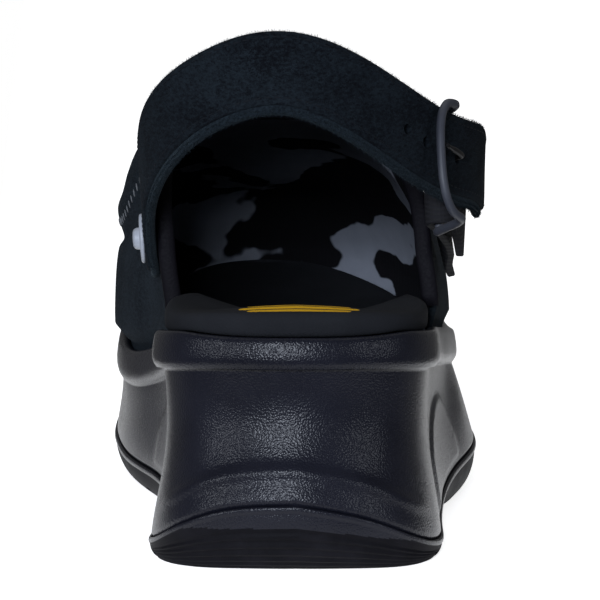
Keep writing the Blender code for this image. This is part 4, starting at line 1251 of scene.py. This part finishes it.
for word, side in SIDES:
    g = np.linspace(0.045, 1.0, 200)
    line = upper_point(g, side, SEAM_AT)
    lie = unit(upper_point(g, side, SEAM_AT + 1.4) - upper_point(g, side, SEAM_AT - 1.4))
    face_out = aligned(unit(np.cross(np.gradient(line, axis=0), lie)), line - np.array([-9.0, 150.0, 60.0]))
    sew("apron_stitch_" + word, line + face_out * 0.05, lie, face_out, 3.8, 2.4, 0.62, pale_thread)

for word, side in SIDES:
    angles = np.linspace(13.0, 88.0, 150)
    line = upper_point(0.022, side, angles)
    lie = unit(np.gradient(line, axis=0))
    ahead = upper_point(0.030, side, angles) - line
    face_out = aligned(unit(np.cross(lie, ahead)), line - np.array([-9.0, 95.0, 70.0]))
    sew("collar_stitch_" + word, line + face_out * 0.1, lie, face_out, 2.6, 2.0, 0.45, pale_thread)

# %% [markdown]
# ## Loose fibres
# Where suede is cut, its fibres stand out as a soft fuzz that blurs the edge. Hair would be lost in an export,
# so each fibre is a thin three-sided spike on a point of a line along the edge. A second tree places them: it
# leans each one by a random amount with a fixed seed and gives it its own length.

# %% The fuzz tree
def fuzz_tree():
    graph, source, line = row_tree("cut_edge_fuzz", ("Pitch", "Length", "Width", "Spread", "Scatter"), "Fibre")

    def jitter(seed, amount):
        cube = {0: (-1.0, -1.0, -1.0), 1: (1.0, 1.0, 1.0), "Seed": seed}
        draw = graph.node("FunctionNodeRandomValue", {"data_type": "FLOAT_VECTOR"}, cube)
        return graph.node("ShaderNodeVectorMath", {"operation": "SCALE"}, {0: draw, "Scale": source.other(amount)})

    lean = graph.node("ShaderNodeVectorMath", {"operation": "ADD"},
                      {0: jitter(3, "Spread"), 1: carried(graph, "face")})
    line = graph.node("GeometryNodeCurveToPoints", {"mode": "EVALUATED"}, {"Curve": line})
    line = graph.node("GeometryNodeSetPosition", {}, {"Geometry": line, "Offset": jitter(7, "Scatter")})
    turn = graph.node("FunctionNodeAlignRotationToVector", {"axis": "Z"}, {"Vector": lean})
    share = graph.node("FunctionNodeRandomValue", {"data_type": "FLOAT"}, {2: 0.4, 3: 1.4, "Seed": 11}, 1)
    wide = source.other("Width")
    size = graph.node("ShaderNodeCombineXYZ", {}, {0: wide, 1: wide, 2: source.other("Length") * share})
    spike = graph.node("GeometryNodeMeshCone", {},
                       {"Vertices": 3, "Radius Top": 0.1, "Radius Bottom": 0.5, "Depth": 1.0})
    return plant(graph, line, spike, turn, size, source.other("Fibre"))


FUZZ = fuzz_tree()


def strap_fuzz(name, up_place, out_place, lean_up, lean_out, fibre):
    """Fuzz along a line of the strap's edge, leaning as told."""
    rows = along_strap(HALF + 1.0, 260)
    line = [spot + up * up_place + out * out_place for spot, run, up, out in rows]
    lean = [up * lean_up + out * lean_out for spot, run, up, out in rows]
    sizes = {"Pitch": 0.11 * MM, "Length": 0.75 * MM, "Width": 0.11 * MM, "Spread": 0.8, "Scatter": 0.25 * MM,
             "Fibre": fibre}
    grow(name, FUZZ, line, {"face": lean}, sizes)


strap_fuzz("fuzz_under", -HALF - 0.2, -0.3, -0.9, 0.3, fray.material)
strap_fuzz("fuzz_edge", -HALF - 0.05, 0.4, -0.7, 0.7, fray.material)
strap_fuzz("fuzz_ledge", -HALF + 0.8, 0.8, -0.3, 0.9, fray.material)
strap_fuzz("fuzz_top", HALF - 0.1, 0.6, 0.9, 0.3, strap_suede)

# %% [markdown]
# ## The stage
# A white floor and a white surrounding, as in a product picture. A soft light behind the camera does most of the
# work, a weak one on each side fills the walls, and a broad one overhead lights the tops. The camera stands behind
# the heel and a little above it, far off with a long lens, so the sides stay parallel.

# %% Floor, light and camera
FLOOR_Z = -0.05          # just under the tread
FLOOR = ((-85, -45), (98, -45), (255, 2600), (-220, 2600))
HEEL = (0.0, 0.0, 0.05)  # what the lights face
KEY_TINT = (0.80, 0.87, 1.0)
SIDE_TINT = (0.86, 0.91, 1.0)
floor_finish = Finish("pale_floor", Roughness=0.9, Specular_IOR_Level=0.0, Emission_Color=colour(1.0, 1.0, 1.0),
                      Emission_Strength=0.8)
floor_finish.tones(floor_finish.noise(3.0), (0.90, 0.90, 0.90), (0.92, 0.92, 0.92))
floor = piece("floor", [(x, y, FLOOR_Z) for x, y in FLOOR], [(0, 1, 2, 3)], floor_finish.material)

world = bpy.data.worlds.new("studio")
world.use_nodes = True
sky = Graph(world.node_tree)
toward = sky.node("ShaderNodeSeparateXYZ", {}, {0: sky.node("ShaderNodeTexCoord")}).other("Y")
room = sky.node("ShaderNodeMapRange", {"interpolation_type": "SMOOTHSTEP"},
                {"Value": toward, "From Min": -0.45, "From Max": 0.55, "To Min": 0.06, "To Max": 0.15})
seen = sky.node("ShaderNodeLightPath")
backdrop = world.node_tree.nodes["Background"]
backdrop.inputs["Color"].default_value = colour(1.0, 1.0, 1.0)
sky.tree.links.new((seen + (1.0 - seen) * room).socket, backdrop.inputs["Strength"])
bpy.context.scene.world = world
bpy.context.scene.view_settings.view_transform = "Standard"


def softbox(name, place, aim, wide, tall, watts, tint=(1.0, 1.0, 1.0)):
    light = bpy.data.lights.new(name, "AREA")
    light.shape = "RECTANGLE"
    light.size = wide
    light.size_y = tall
    light.energy = watts
    light.color = tint
    made = add_object(name, light)
    made.location = place
    made.rotation_euler = (Vector(aim) - Vector(place)).to_track_quat("-Z", "Y").to_euler()


softbox("key", (-0.34, -1.9, 0.49), HEEL, 0.62, 0.30, 40.0, KEY_TINT)
softbox("left", (-1.55, -1.05, 0.42), HEEL, 0.5, 0.4, 12.0, SIDE_TINT)
softbox("right", (1.55, -1.05, 0.42), HEEL, 0.5, 0.4, 7.0, SIDE_TINT)
softbox("top", (0.0, 0.9, 2.0), (0.0, 0.9, 0.0), 2.6, 2.6, 14.0)

camera = add_object("camera", bpy.data.cameras.new("camera"))
camera.data.sensor_width = 36.0
camera.data.lens = 283.4
camera.data.clip_end = 30.0
camera.location = (0.00185, -1.33864, 0.22577)
camera.rotation_euler = (math.radians(90.0 - 7.209), 0.0, 0.0)
bpy.context.scene.camera = camera
